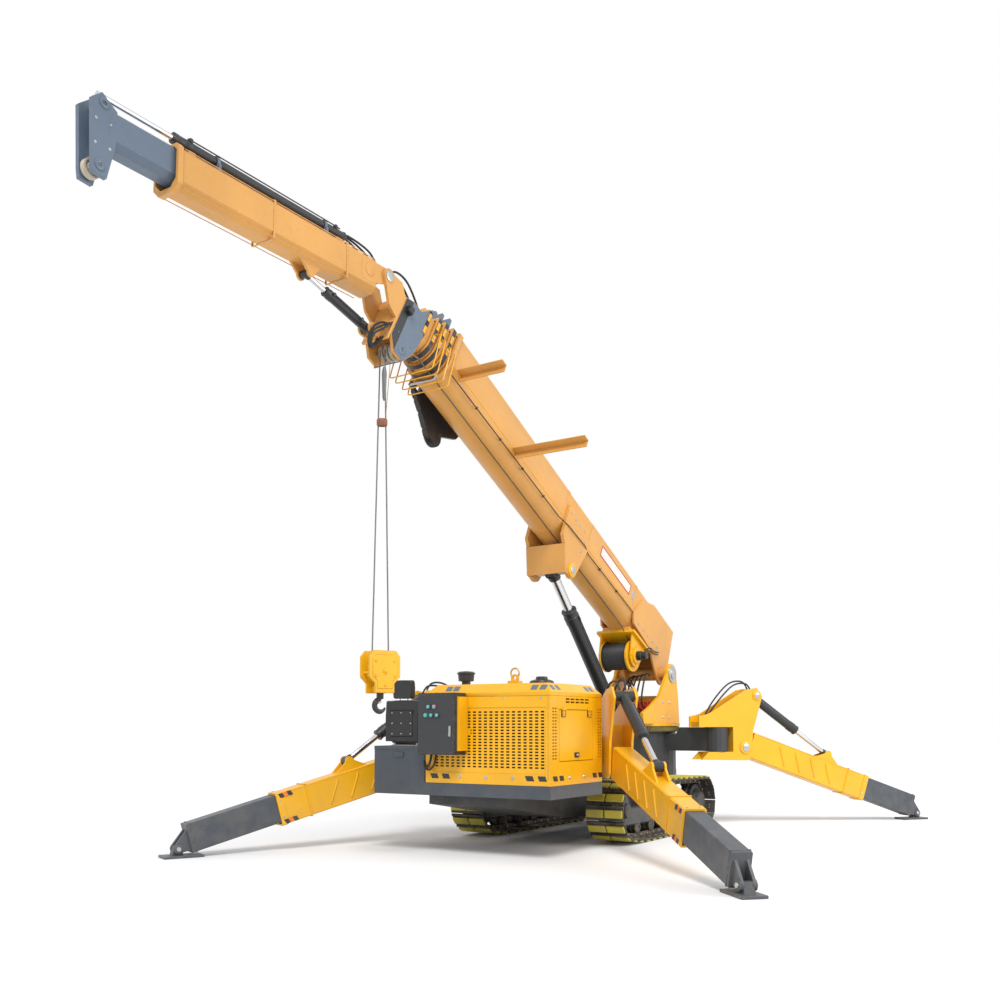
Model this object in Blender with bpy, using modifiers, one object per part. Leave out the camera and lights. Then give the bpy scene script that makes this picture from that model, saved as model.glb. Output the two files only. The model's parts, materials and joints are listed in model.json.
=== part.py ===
"""Tracked spider crane with a luffing jib, standing on its four outriggers.

The machine stands on z = 0 with its hood toward -Y. Every assembly is drawn in its own frame,
an empty whose -Y axis points forward along the boom, jib or leg and whose X axis is the hinge
line, so a moving piece turns or slides about its own frame.
"""
import math

import bmesh
import bpy
from mathutils import Matrix, Vector

# Clearances
GAP = 0.0003            # between faces that rest on each other
SLIDE = 0.0005          # between a slide pad and the tube that it runs in
RUN = 0.006             # between pieces that pass each other

# Places of the main assemblies
ORIGIN_Y = -0.058       # puts the origin under the middle of the whole machine
SLEW_Y = 3.12           # slewing axis, on the centre line
REAR_LEGS_AHEAD = 0.05  # rear outrigger pivots, ahead of the slewing axis
WHEELBASE = 2.93        # from the rear outrigger pivots to the front ones
FRONT_PIVOT_Y = SLEW_Y - REAR_LEGS_AHEAD - WHEELBASE
FRONT_LEG_X = 0.945
REAR_LEG_X = 1.128
FRONT_LEG_DROP = 0.09   # the front crossbeam sits lower than the rear one

# Tracks
TRACK_GAUGE = 1.782
SHOE_WIDTH = 0.45
SHOE_COUNT = 37
PAD_HEIGHT = 0.025
PAD_SHARE = 0.62        # part of a shoe's pitch that the raised pad takes
SHOE_PLATE = 0.02
CHAIN_WIDTH = 0.20
CHAIN_DEPTH = 0.055
TRACK_FRONT_Y = FRONT_PIVOT_Y + 0.016
TRACK_REAR_Y = 3.055
TRACK_END_RADIUS = 0.335
IDLER_LIFT = 0.035      # the front end of the track is raised by this
IDLER_RAMP = 0.30       # length over which the lower run rises to the idler
ROLLER_COUNT = 5
TOP_ROLLER_RADIUS = 0.05

# Chassis
CHASSIS_HALF_WIDTH = 0.45
CHASSIS_BOTTOM = 0.30
CHASSIS_TOP = 0.72
CROSSBEAM_WIDTH = 0.24
CROSSBEAM_BOTTOM = 0.975
CROSSBEAM_TOP = 1.285
LEG_BOSS_RADIUS = 0.15
BOSS_PROUD = 0.003
PEDESTAL_RADIUS = 0.50
PEDESTAL_TOP = 1.226
RING_RADIUS = 0.545
RING_TOP = 1.30

# Deck, toolbox and hood
DECK_HALF_WIDTH = 1.064
DECK_REAR_Y = FRONT_PIVOT_Y - 0.365
DECK_FRONT_Y = DECK_REAR_Y - 1.119
DECK_BOTTOM = 0.60
DECK_TOP = 0.73
TOOLBOX_RIGHT_X = -0.412
TOOLBOX_DEPTH = 0.62
TOOLBOX_TOP = 1.094
HOOD_LEFT_X = -0.40
HOOD_TOP = 1.73
HOOD_BEVEL = 0.09
HOOD_WALL = 0.03
DOOR_LENGTH = 0.72
DOOR_MIDDLE_Y = DECK_FRONT_Y + 0.544
DOOR_HEIGHT = 0.50
DOOR_BOTTOM = 0.965
DOOR_GAP = 0.006
GRILLE_LEFT_X = -0.30
GRILLE_RIGHT_X = 1.01
GRILLE_BOTTOM = 0.84
GRILLE_TOP = 1.49
GRILLE_COLUMNS = 6
GRILLE_ROWS = 6
GRILLE_RIM = 0.03
SLOT_FILL = (0.62, 0.42)
CABINET_X = (-0.36, 0.09)
CABINET_Z = (1.02, 1.64)
CABINET_DEPTH = 0.20
CABINET_DOOR = 0.025
CABINET_WALL = 0.02
ENGINE_SIZE = (0.62, 0.72, 0.66)

# Seat
SEAT_WIDTH = 0.44
SEAT_X = -0.76

# Turntable
TURNTABLE_RADIUS = 0.56
TURNTABLE_PLATE = 0.035
NOSE_REACH = 0.79
POST_INNER_X = 0.37
POST_THICKNESS = 0.04
PIVOT_BACK = 0.20
PIVOT_HEIGHT = 2.011
POST_HEAD_RADIUS = 0.14
LIFT_BASE_AHEAD = 0.70
LIFT_BASE_HEIGHT = 1.43
LIFT_EYE_RADIUS = 0.08
LIFT_EYE_HALF = 0.10
LIFT_CHEEK = 0.04

# Boom
SLEW_REST = 2.7         # degrees that the boom stands to the left of straight ahead
BOOM_ANGLE = 28.4       # degrees above level
BOOM_WIDTH = 0.455
BOOM_TOP = 0.706        # above the foot pin line
BOOM_SEAM = 0.334       # where the flat sides meet the round underside
BOOM_START = 0.60
BOOM_END = 5.70
BOOM_WALL = 0.012
BOOM_STEP = 0.041       # each inner section is this much narrower
SECTION_WALL = 0.010
COLLAR_LENGTH = 0.055
COLLAR_PITCH = 0.11
COLLAR_RIM = 0.022
FIN_HEIGHT = 0.13
FOOT_INNER_X = 0.262
FOOT_PLATE = 0.025
FOOT_PIN_RADIUS = 0.15
LIFT_PIN = (2.72, -0.17)    # along the boom, above the foot pin line
LIFT_LUG_X = 0.27
BAR_LEG = 0.09
BAR_PLATE = 0.010
BARS = ((5.50, 0.36, 0.56), (4.32, 0.33, 0.92))   # along the boom, above it, length

# Lift cylinder
LIFT_BARREL_RADIUS = 0.089
LIFT_BARREL_LENGTH = 1.76
LIFT_ROD_RADIUS = 0.058
LIFT_ROD_EYE = 0.075

# Winch
WINCH_AT = (0.76, -0.165)
DRUM_RADIUS = 0.185
DRUM_FLANGE_RADIUS = 0.205
DRUM_HALF_LENGTH = 0.20
WINCH_CHEEK = 0.02
WINCH_PLATE_TOP = 0.085

# Boom head
SHEAVE_AT = (6.257, -0.053)
SHEAVE_RADIUS = 0.095
SHEAVE_WIDTH = 0.034
SHEAVE_PITCH = 0.06
SHEAVE_GROOVE = 0.86     # groove radius as a part of the rim radius
HEAD_PLATE_X = 0.167
HEAD_PLATE = 0.03
HEAD_BACK = 6.08
HEAD_FRONT = 6.45

# Jib
JIB_PIVOT = (6.73, 0.446)
JIB_ANGLE = 1.0         # degrees above level
JIB_WIDTH = 0.26
JIB_TOP = 0.112
JIB_CHAMFER = 0.09
JIB_HEIGHT = 0.335
JIB_START = 0.16
JIB_END = 2.47
JIB_WALL = 0.010
JIB_EXT_WIDTH = 0.20
JIB_EXT_HEIGHT = 0.27
JIB_EXT_START = 0.62    # rear end of the extension, inside the jib
JIB_HEAD_AT = 3.09
JIB_CYLINDER_H = 0.225
JIB_BARREL_RADIUS = 0.042
JIB_ROD_RADIUS = 0.022
LUFF_BASE = (6.602, -0.084)     # in the boom's frame
LUFF_LUG = (0.955, -0.305)      # in the jib's frame
LUFF_BARREL_RADIUS = 0.045
LUFF_BARREL_LENGTH = 0.60
LUFF_ROD_RADIUS = 0.024
LUFF_EYE = 0.035

# Hook
HOOK_DROP = 2.92        # from the head sheave's pin to the top of the block
ROPE_RADIUS = 0.008
BLOCK_WIDTH = 0.33
BLOCK_HEIGHT = 0.40
BLOCK_THICKNESS = 0.19
BLOCK_TURN = -20.0
BLOCK_SHEAVE = 0.082
CHEEK = 0.025

# Outriggers
LEG_HINGE_R = 0.352
LEG_HINGE_Z = 1.023     # of the rear legs
LEG_PIN_R = 0.534
LEG_PIN_Z = 1.702
LEG_WIDTH = 0.205
LEG_HINGE_DROP = 0.13    # of the front legs
LEG_TOP = 0.232         # above the hinge line
LEG_HEIGHT = 0.338
LEG_WALL = 0.012
LEG_LENGTH = 1.99
COLLAR_BAND = 0.07
EXT_WIDTH = 0.18
EXT_HEIGHT = 0.295
EXT_TUCKED = 0.95        # how much of the extension is inside the leg
FOOT_PIN_AHEAD = 0.12
FOOT_PIN_Z = 0.086
BRACKET_HALF = 0.133
BRACKET_PLATE = 0.025
LEG_CYL_RADIUS = 0.06
LEG_ROD_RADIUS = 0.032
LEG_CYL_EYE = 0.055
LUG_PLATE = 0.022
LUG_INNER = 0.052

# name, side, front, heading from sideways in degrees, extended length, lug distance, barrel length
OUTRIGGERS = (
    ("front_right", 1, True, 45.4, 2.922, 1.07, 0.70),
    ("front_left", -1, True, 64.9, 2.953, 1.07, 0.70),
    ("rear_right", 1, False, 50.6, 2.828, 1.30, 0.82),
    ("rear_left", -1, False, 47.5, 2.828, 1.30, 0.82),
)
LUG_HEIGHT = 0.325

# Colours: red, green, blue, roughness, metallic
PAINT = {
    "amber_paint": (0.87, 0.42, 0.012, 0.35, 0.0),
    "grey_paint": (0.045, 0.055, 0.068, 0.45, 0.0),
    "blue_grey_paint": (0.13, 0.19, 0.26, 0.4, 0.0),
    "black_paint": (0.018, 0.019, 0.021, 0.4, 0.0),
    "chrome": (0.62, 0.63, 0.65, 0.15, 1.0),
    "track_steel": (0.03, 0.03, 0.03, 0.7, 0.3),
    "olive_steel": (0.2, 0.17, 0.05, 0.6, 0.3),
    "rope_steel": (0.10, 0.10, 0.095, 0.5, 0.8),
    "nylon": (0.48, 0.42, 0.33, 0.5, 0.0),
    "vinyl": (0.015, 0.015, 0.016, 0.55, 0.0),
    "blue_paint": (0.03, 0.10, 0.28, 0.4, 0.0),
}

TURN = {
    "x": Matrix(((0, 0, 1, 0), (1, 0, 0, 0), (0, 1, 0, 0), (0, 0, 0, 1))),
    "y": Matrix(((1, 0, 0, 0), (0, 0, -1, 0), (0, 1, 0, 0), (0, 0, 0, 1))),
    "z": Matrix.Identity(4),
}


def clear_scene():
    for item in list(bpy.data.objects):
        bpy.data.objects.remove(item, do_unlink=True)


def collection(name):
    group = bpy.data.collections.new(name)
    bpy.context.scene.collection.children.link(group)
    return group


def make_materials():
    for name, (red, green, blue, rough, metal) in PAINT.items():
        material = bpy.data.materials.new(name)
        material.use_nodes = True
        shader = material.node_tree.nodes["Principled BSDF"]
        shader.inputs["Base Color"].default_value = (red, green, blue, 1.0)
        shader.inputs["Roughness"].default_value = rough
        shader.inputs["Metallic"].default_value = metal


def frame(name, parent=None, at=(0.0, 0.0, 0.0), tilt=0.0, turn=0.0):
    """An empty at a point of its parent's frame, raised by tilt and turned about Z, in degrees."""
    empty = bpy.data.objects.new(name, None)
    PARTS.objects.link(empty)
    empty.parent = parent
    empty.location = at
    empty.rotation_euler = (-math.radians(tilt), 0.0, math.radians(turn))
    empty.empty_display_size = 0.1
    return empty


def solid(mesh):
    piece = bpy.data.objects.new("piece", mesh)
    PARTS.objects.link(piece)
    return piece


def from_bmesh(shape):
    mesh = bpy.data.meshes.new("piece")
    bmesh.ops.recalc_face_normals(shape, faces=shape.faces)
    shape.to_mesh(mesh)
    shape.free()
    return solid(mesh)


def block(x, y, z, bevel=0.0, edges="all"):
    """A box between pairs of coordinates, with all its edges or the top ones bevelled."""
    shape = bmesh.new()
    bmesh.ops.create_cube(shape, size=1.0)
    size = (x[1] - x[0], y[1] - y[0], z[1] - z[0])
    middle = ((x[0] + x[1]) / 2, (y[0] + y[1]) / 2, (z[0] + z[1]) / 2)
    place = Matrix.Translation(middle) @ Matrix.Diagonal((*size, 1.0))
    bmesh.ops.transform(shape, matrix=place, verts=shape.verts)
    if bevel:
        chosen = [edge for edge in shape.edges
                  if edges == "all" or min(vert.co.z for vert in edge.verts) > z[1] - 1e-6]
        bmesh.ops.bevel(shape, geom=chosen, offset=bevel, segments=1, affect="EDGES")
    return from_bmesh(shape)


def rod(start, end, radius, sides=12):
    """A round bar between two points."""
    start, end = Vector(start), Vector(end)
    shape = bmesh.new()
    bmesh.ops.create_cone(shape, cap_ends=True, segments=sides, radius1=radius, radius2=radius,
                          depth=(end - start).length)
    turn = (end - start).to_track_quat("Z", "Y").to_matrix().to_4x4()
    place = Matrix.Translation((start + end) / 2) @ turn
    bmesh.ops.transform(shape, matrix=place, verts=shape.verts)
    return from_bmesh(shape)


def outline(points, axis, low, high, holes=()):
    """A flat outline, with holes, as thick as low to high along an axis.

    Points are (y, z) for the x axis, (x, z) for the y axis and (x, y) for the z axis.
    """
    curve = bpy.data.curves.new("outline", "CURVE")
    curve.dimensions = "2D"
    curve.fill_mode = "BOTH"
    curve.extrude = (high - low) / 2
    for loop in (points, *holes):
        spline = curve.splines.new("POLY")
        spline.points.add(len(loop) - 1)
        for point, (u, v) in zip(spline.points, loop):
            point.co = (u, v, 0.0, 1.0)
        spline.use_cyclic_u = True
    source = bpy.data.objects.new("outline", curve)
    PARTS.objects.link(source)
    bpy.context.view_layer.update()
    mesh = bpy.data.meshes.new_from_object(source.evaluated_get(bpy.context.evaluated_depsgraph_get()))
    bpy.data.objects.remove(source, do_unlink=True)
    bpy.data.curves.remove(curve)
    shape = bmesh.new()
    shape.from_mesh(mesh)
    bpy.data.meshes.remove(mesh)
    bmesh.ops.remove_doubles(shape, verts=shape.verts, dist=1e-5)
    middle = {"x": ((low + high) / 2, 0, 0), "y": (0, (low + high) / 2, 0), "z": (0, 0, (low + high) / 2)}
    place = Matrix.Translation(middle[axis]) @ TURN[axis]
    bmesh.ops.transform(shape, matrix=place, verts=shape.verts)
    return from_bmesh(shape)


def arc(centre, radius, start, end, steps):
    """Points along an arc, angles in degrees, both ends included."""
    result = []
    for index in range(steps + 1):
        angle = math.radians(start + (end - start) * index / steps)
        result.append((centre[0] + radius * math.cos(angle), centre[1] + radius * math.sin(angle)))
    return result


def circle(centre, radius, sides=16):
    return arc(centre, radius, 0.0, 360.0, sides)[:-1]


def side(points):
    """Points given as (forward, up) become (y, z)."""
    return [(-forward, up) for forward, up in points]


def span(sign, inner, outer):
    """A pair of x coordinates on one side of the centre line, low first."""
    return (inner, outer) if sign > 0 else (-outer, -inner)


def node(name, parent, paint, pieces, cuts=()):
    """Joins pieces into one solid, takes the cuts away, and hangs it in its frame."""
    base = pieces[0]
    for tool in pieces[1:]:
        join = base.modifiers.new("join", "BOOLEAN")
        join.operation = "UNION"
        join.object = tool
    for tool in cuts:
        cut = base.modifiers.new("cut", "BOOLEAN")
        cut.operation = "DIFFERENCE"
        cut.object = tool
    bpy.context.view_layer.update()
    mesh = bpy.data.meshes.new_from_object(base.evaluated_get(bpy.context.evaluated_depsgraph_get()))
    for item in (*pieces, *cuts):
        bpy.data.objects.remove(item, do_unlink=True)
    mesh.name = name
    mesh.materials.clear()
    mesh.materials.append(bpy.data.materials[paint])
    mesh.shade_smooth()
    mesh.set_sharp_from_angle(angle=math.radians(30.0))
    result = bpy.data.objects.new(name, mesh)
    PARTS.objects.link(result)
    result.parent = parent
    return result


def plates(points, inner, outer, holes=()):
    """A pair of like plates, left and right, from a (forward, up) outline."""
    flat_holes = [side(hole) for hole in holes]
    return [outline(side(points), "x", *span(sign, inner, outer), flat_holes) for sign in (1, -1)]


def tube(points, radius):
    """A round bar bent along points."""
    curve = bpy.data.curves.new("tube", "CURVE")
    curve.dimensions = "3D"
    curve.bevel_depth = radius
    curve.bevel_resolution = 2
    curve.use_fill_caps = True
    spline = curve.splines.new("POLY")
    spline.points.add(len(points) - 1)
    for point, place in zip(spline.points, points):
        point.co = (*place, 1.0)
    source = bpy.data.objects.new("tube", curve)
    PARTS.objects.link(source)
    bpy.context.view_layer.update()
    mesh = bpy.data.meshes.new_from_object(source.evaluated_get(bpy.context.evaluated_depsgraph_get()))
    bpy.data.objects.remove(source, do_unlink=True)
    bpy.data.curves.remove(curve)
    shape = bmesh.new()
    shape.from_mesh(mesh)
    bpy.data.meshes.remove(mesh)
    bmesh.ops.remove_doubles(shape, verts=shape.verts, dist=1e-5)
    return from_bmesh(shape)


def moved(piece, matrix):
    piece.data.transform(matrix)
    return piece


def cross_pin(at, half, radius, sides=12):
    """A round pin across the frame at a (forward, up) place."""
    return rod((-half, -at[0], at[1]), (half, -at[0], at[1]), radius, sides)


def bar(start, end, radius, sides=12):
    """A round bar in the middle plane between two (forward, up) places."""
    return rod((0, -start[0], start[1]), (0, -end[0], end[1]), radius, sides)


def boxed(width, top, bottom, chamfer_top, chamfer_bottom):
    """A box section with cut corners, as (x, z) points."""
    half = width / 2
    return [
        (-half, bottom + chamfer_bottom), (-half + chamfer_bottom, bottom),
        (half - chamfer_bottom, bottom), (half, bottom + chamfer_bottom),
        (half, top - chamfer_top), (half - chamfer_top, top),
        (-half + chamfer_top, top), (-half, top - chamfer_top),
    ]


def cylinder(name, parent, base, tip, sizes, paints=("black_paint", "chrome")):
    """A hydraulic cylinder from its base pin to its rod's eye, in its parent's frame.

    The barrel and its rod share a frame whose -Y axis lies along the cylinder.
    """
    reach = math.hypot(tip[0] - base[0], tip[1] - base[1])
    tilt = math.degrees(math.atan2(tip[1] - base[1], tip[0] - base[0]))
    barrel = frame(name + "_barrel_axis", parent, (0, -base[0], base[1]), tilt)
    start = sizes["eye"] + 0.08
    node(name + "_barrel", barrel, paints[0],
         [bar((0.4 * sizes["eye"], 0), (sizes["length"] - sizes["cap"], 0), sizes["barrel"]),
          bar((sizes["length"] - sizes["cap"] - 0.01, 0), (sizes["length"], 0), sizes["barrel"] * 1.09),
          cross_pin((0, 0), sizes["base_half"] - GAP, sizes["eye"])],
         [bar((start, 0), (sizes["length"] + 0.1, 0), sizes["rod"] + SLIDE)])
    slide = frame(name + "_rod_axis", barrel)
    node(name + "_rod", slide, paints[1],
         [bar((reach - sizes["rod_length"], 0), (reach - 0.5 * sizes["tip_eye"], 0), sizes["rod"]),
          cross_pin((reach, 0), sizes["tip_half"] - GAP, sizes["tip_eye"]),
          cross_pin((reach, 0), sizes["tip_pin_half"] - GAP, sizes["tip_eye"] * 0.55)])


def track_path():
    """Corners of the shoes' outer face without pads, as (y, z), counterclockwise from the front."""
    radius = TRACK_END_RADIUS - PAD_HEIGHT
    front = (TRACK_FRONT_Y + TRACK_END_RADIUS, TRACK_END_RADIUS + IDLER_LIFT)
    rear = (TRACK_REAR_Y - TRACK_END_RADIUS, TRACK_END_RADIUS)
    touch = (front[0] + IDLER_RAMP, PAD_HEIGHT)
    away = math.hypot(front[0] - touch[0], front[1] - touch[1])
    to_front = math.degrees(math.atan2(front[1] - touch[1], front[0] - touch[0]))
    lean = math.degrees(math.asin(radius / away))
    ramp_angle = to_front + lean + 90.0
    top_slope = math.degrees(math.atan2(front[1] - rear[1], rear[0] - front[0]))
    front_arc = arc(front, radius, 90.0 - top_slope, ramp_angle, 9)
    rear_arc = arc(rear, radius, -90.0, 90.0 - top_slope, 10)
    return front_arc + [touch] + rear_arc


def along(path, count, phase):
    """Evenly spaced (place, outward normal) pairs along a closed path, moved on by a part of a step."""
    closed = path + [path[0]]
    lengths = [math.dist(a, b) for a, b in zip(closed, closed[1:])]
    result = []
    for index in range(count):
        left = sum(lengths) * (index + phase) / count
        step = 0
        while left > lengths[step]:
            left -= lengths[step]
            step += 1
        (y0, z0), (y1, z1) = closed[step], closed[step + 1]
        share = left / lengths[step]
        normal = ((z1 - z0) / lengths[step], -(y1 - y0) / lengths[step])
        result.append(((y0 + (y1 - y0) * share, z0 + (z1 - z0) * share), normal))
    return result


def inset(path, depth):
    """A convex path moved inward."""
    result = []
    for before, here, after in zip([path[-1]] + path[:-1], path, path[1:] + [path[0]]):
        a = Vector((here[0] - before[0], here[1] - before[1])).normalized()
        b = Vector((after[0] - here[0], after[1] - here[1])).normalized()
        normal = Vector((-a.y - b.y, a.x + b.x)).normalized()
        reach = depth / max(0.5, normal.dot(Vector((-a.y, a.x))))
        result.append((here[0] + normal.x * reach, here[1] + normal.y * reach))
    return result


def track(name, sign):
    """One closed loop: the shoes' plates with a raised pad on each, and the chain inside."""
    path = track_path()
    place = frame(name + "_place", MACHINE, (sign * TRACK_GAUGE / 2, 0, 0))
    half = SHOE_WIDTH / 2
    closed = path + [path[0]]
    pitch = sum(math.dist(a, b) for a, b in zip(closed, closed[1:])) / SHOE_COUNT
    sunk = 0.0105
    touch = min(range(len(path)), key=lambda index: (path[index][1] > PAD_HEIGHT + 1e-6, path[index][0]))
    phase = (sum(math.dist(path[index], path[index + 1]) for index in range(touch)) / pitch + 0.5) % 1.0
    pads = bmesh.new()
    for (y, z), (ny, nz) in along(path, SHOE_COUNT, phase):
        size = (2 * half - 0.008, pitch * PAD_SHARE, PAD_HEIGHT + sunk)
        lift = (PAD_HEIGHT - sunk) / 2
        cube = bmesh.ops.create_cube(pads, size=1.0)
        seat_of_pad = (Matrix.Translation((0, y + ny * lift, z + nz * lift))
                       @ Matrix.Rotation(math.atan2(-ny, nz), 4, "X") @ Matrix.Diagonal((*size, 1.0)))
        bmesh.ops.transform(pads, matrix=seat_of_pad, verts=cube["verts"])
    sides = [outline(inset(path, SHOE_PLATE), "x", low, high)
             for low, high in ((-half - 0.01, -CHAIN_WIDTH / 2), (CHAIN_WIDTH / 2, half + 0.01))]
    inside = outline(inset(path, SHOE_PLATE + CHAIN_DEPTH), "x", -half, half)
    node(name, place, "track_steel", [outline(path, "x", -half, half), from_bmesh(pads)], [*sides, inside])


def track_frame(name, sign):
    """The side beam with its idler, sprocket and rollers, and the arms to the chassis."""
    middle = sign * TRACK_GAUGE / 2
    front = (TRACK_FRONT_Y + TRACK_END_RADIUS, TRACK_END_RADIUS + IDLER_LIFT)
    rear = (TRACK_REAR_Y - TRACK_END_RADIUS, TRACK_END_RADIUS)
    chain_top = PAD_HEIGHT + SHOE_PLATE + CHAIN_DEPTH
    wheel = TRACK_END_RADIUS - chain_top - 0.012
    half = 0.07
    roller = 0.062
    first = front[0] + IDLER_RAMP + 0.08
    pieces = [
        block((middle - 0.10, middle + 0.10), (front[0] - 0.02, rear[0] + 0.02), (0.19, 0.40), 0.02),
        rod((middle - half, *front), (middle + half, *front), wheel, 16),
        rod((middle - half, *rear), (middle + half, *rear), wheel, 16),
        rod((middle - 0.14, *front), (middle + 0.14, *front), 0.07),
        rod((middle - 0.14, *rear), (middle + 0.14, *rear), 0.12),
    ]
    for index in range(ROLLER_COUNT):
        y = first + (rear[0] - 0.30 - first) * index / (ROLLER_COUNT - 1)
        z = chain_top + GAP + roller
        pieces.append(rod((middle - half, y, z), (middle + half, y, z), roller))
        pieces.append(block((middle - 0.09, middle + 0.09), (y - 0.03, y + 0.03), (z - 0.02, 0.25)))
    inner = CHASSIS_HALF_WIDTH + GAP
    for y in (0.95, 2.25):
        pieces.append(block(span(sign, inner, abs(middle)), (y, y + 0.28), (0.33, 0.39)))
    node(name, MACHINE, "black_paint", pieces)


def chassis():
    rear_y = SLEW_Y - REAR_LEGS_AHEAD
    deck_edge = DECK_REAR_Y + RUN
    body = [
        (DECK_FRONT_Y + 0.14, DECK_BOTTOM - GAP), (DECK_FRONT_Y + 0.14, 0.50), (FRONT_PIVOT_Y - 0.04, CHASSIS_BOTTOM),
        (rear_y, CHASSIS_BOTTOM), (rear_y + 0.28, 0.42), (rear_y + 0.28, CHASSIS_TOP),
        (deck_edge, CHASSIS_TOP), (deck_edge, DECK_BOTTOM - GAP),
    ]
    pieces = [
        outline(body, "x", -CHASSIS_HALF_WIDTH, CHASSIS_HALF_WIDTH),
        rod((0, SLEW_Y, 0.60), (0, SLEW_Y, PEDESTAL_TOP), PEDESTAL_RADIUS, 28),
    ]
    for y, reach, drop in ((FRONT_PIVOT_Y, FRONT_LEG_X, FRONT_LEG_DROP), (rear_y, REAR_LEG_X, 0.0)):
        low = CROSSBEAM_BOTTOM - drop
        high = CROSSBEAM_TOP - drop
        dip = min(high, PEDESTAL_TOP - 0.03)
        beam = [
            (-reach, low), (reach, low), (reach, high), (RING_RADIUS + 0.12, high), (RING_RADIUS + 0.06, dip),
            (-RING_RADIUS - 0.06, dip), (-RING_RADIUS - 0.12, high), (-reach, high),
        ]
        pieces.append(outline(beam, "y", y - CROSSBEAM_WIDTH / 2, y + CROSSBEAM_WIDTH / 2))
        for x in (-reach, reach):
            pieces.append(rod((x, y, low - BOSS_PROUD), (x, y, high + BOSS_PROUD), LEG_BOSS_RADIUS, 16))
        post = CHASSIS_HALF_WIDTH - 0.03
        pieces.append(block((-post, post), (y - 0.10, y + 0.10), (CHASSIS_TOP - 0.05, low + 0.02)))
    node("carbody", MACHINE, "grey_paint", pieces)
    node("slew_ring", MACHINE, "olive_steel",
         [rod((0, SLEW_Y, PEDESTAL_TOP + GAP), (0, SLEW_Y, RING_TOP), RING_RADIUS, 32)])


def deck():
    skirt = block((-DECK_HALF_WIDTH, DECK_HALF_WIDTH), (DECK_FRONT_Y, DECK_REAR_Y), (DECK_BOTTOM, DECK_TOP))
    box = block((-DECK_HALF_WIDTH, TOOLBOX_RIGHT_X), (DECK_FRONT_Y, DECK_FRONT_Y + TOOLBOX_DEPTH),
                (DECK_TOP - 0.02, TOOLBOX_TOP))
    node("deck_and_toolbox", MACHINE, "grey_paint", [skirt, box])


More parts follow.
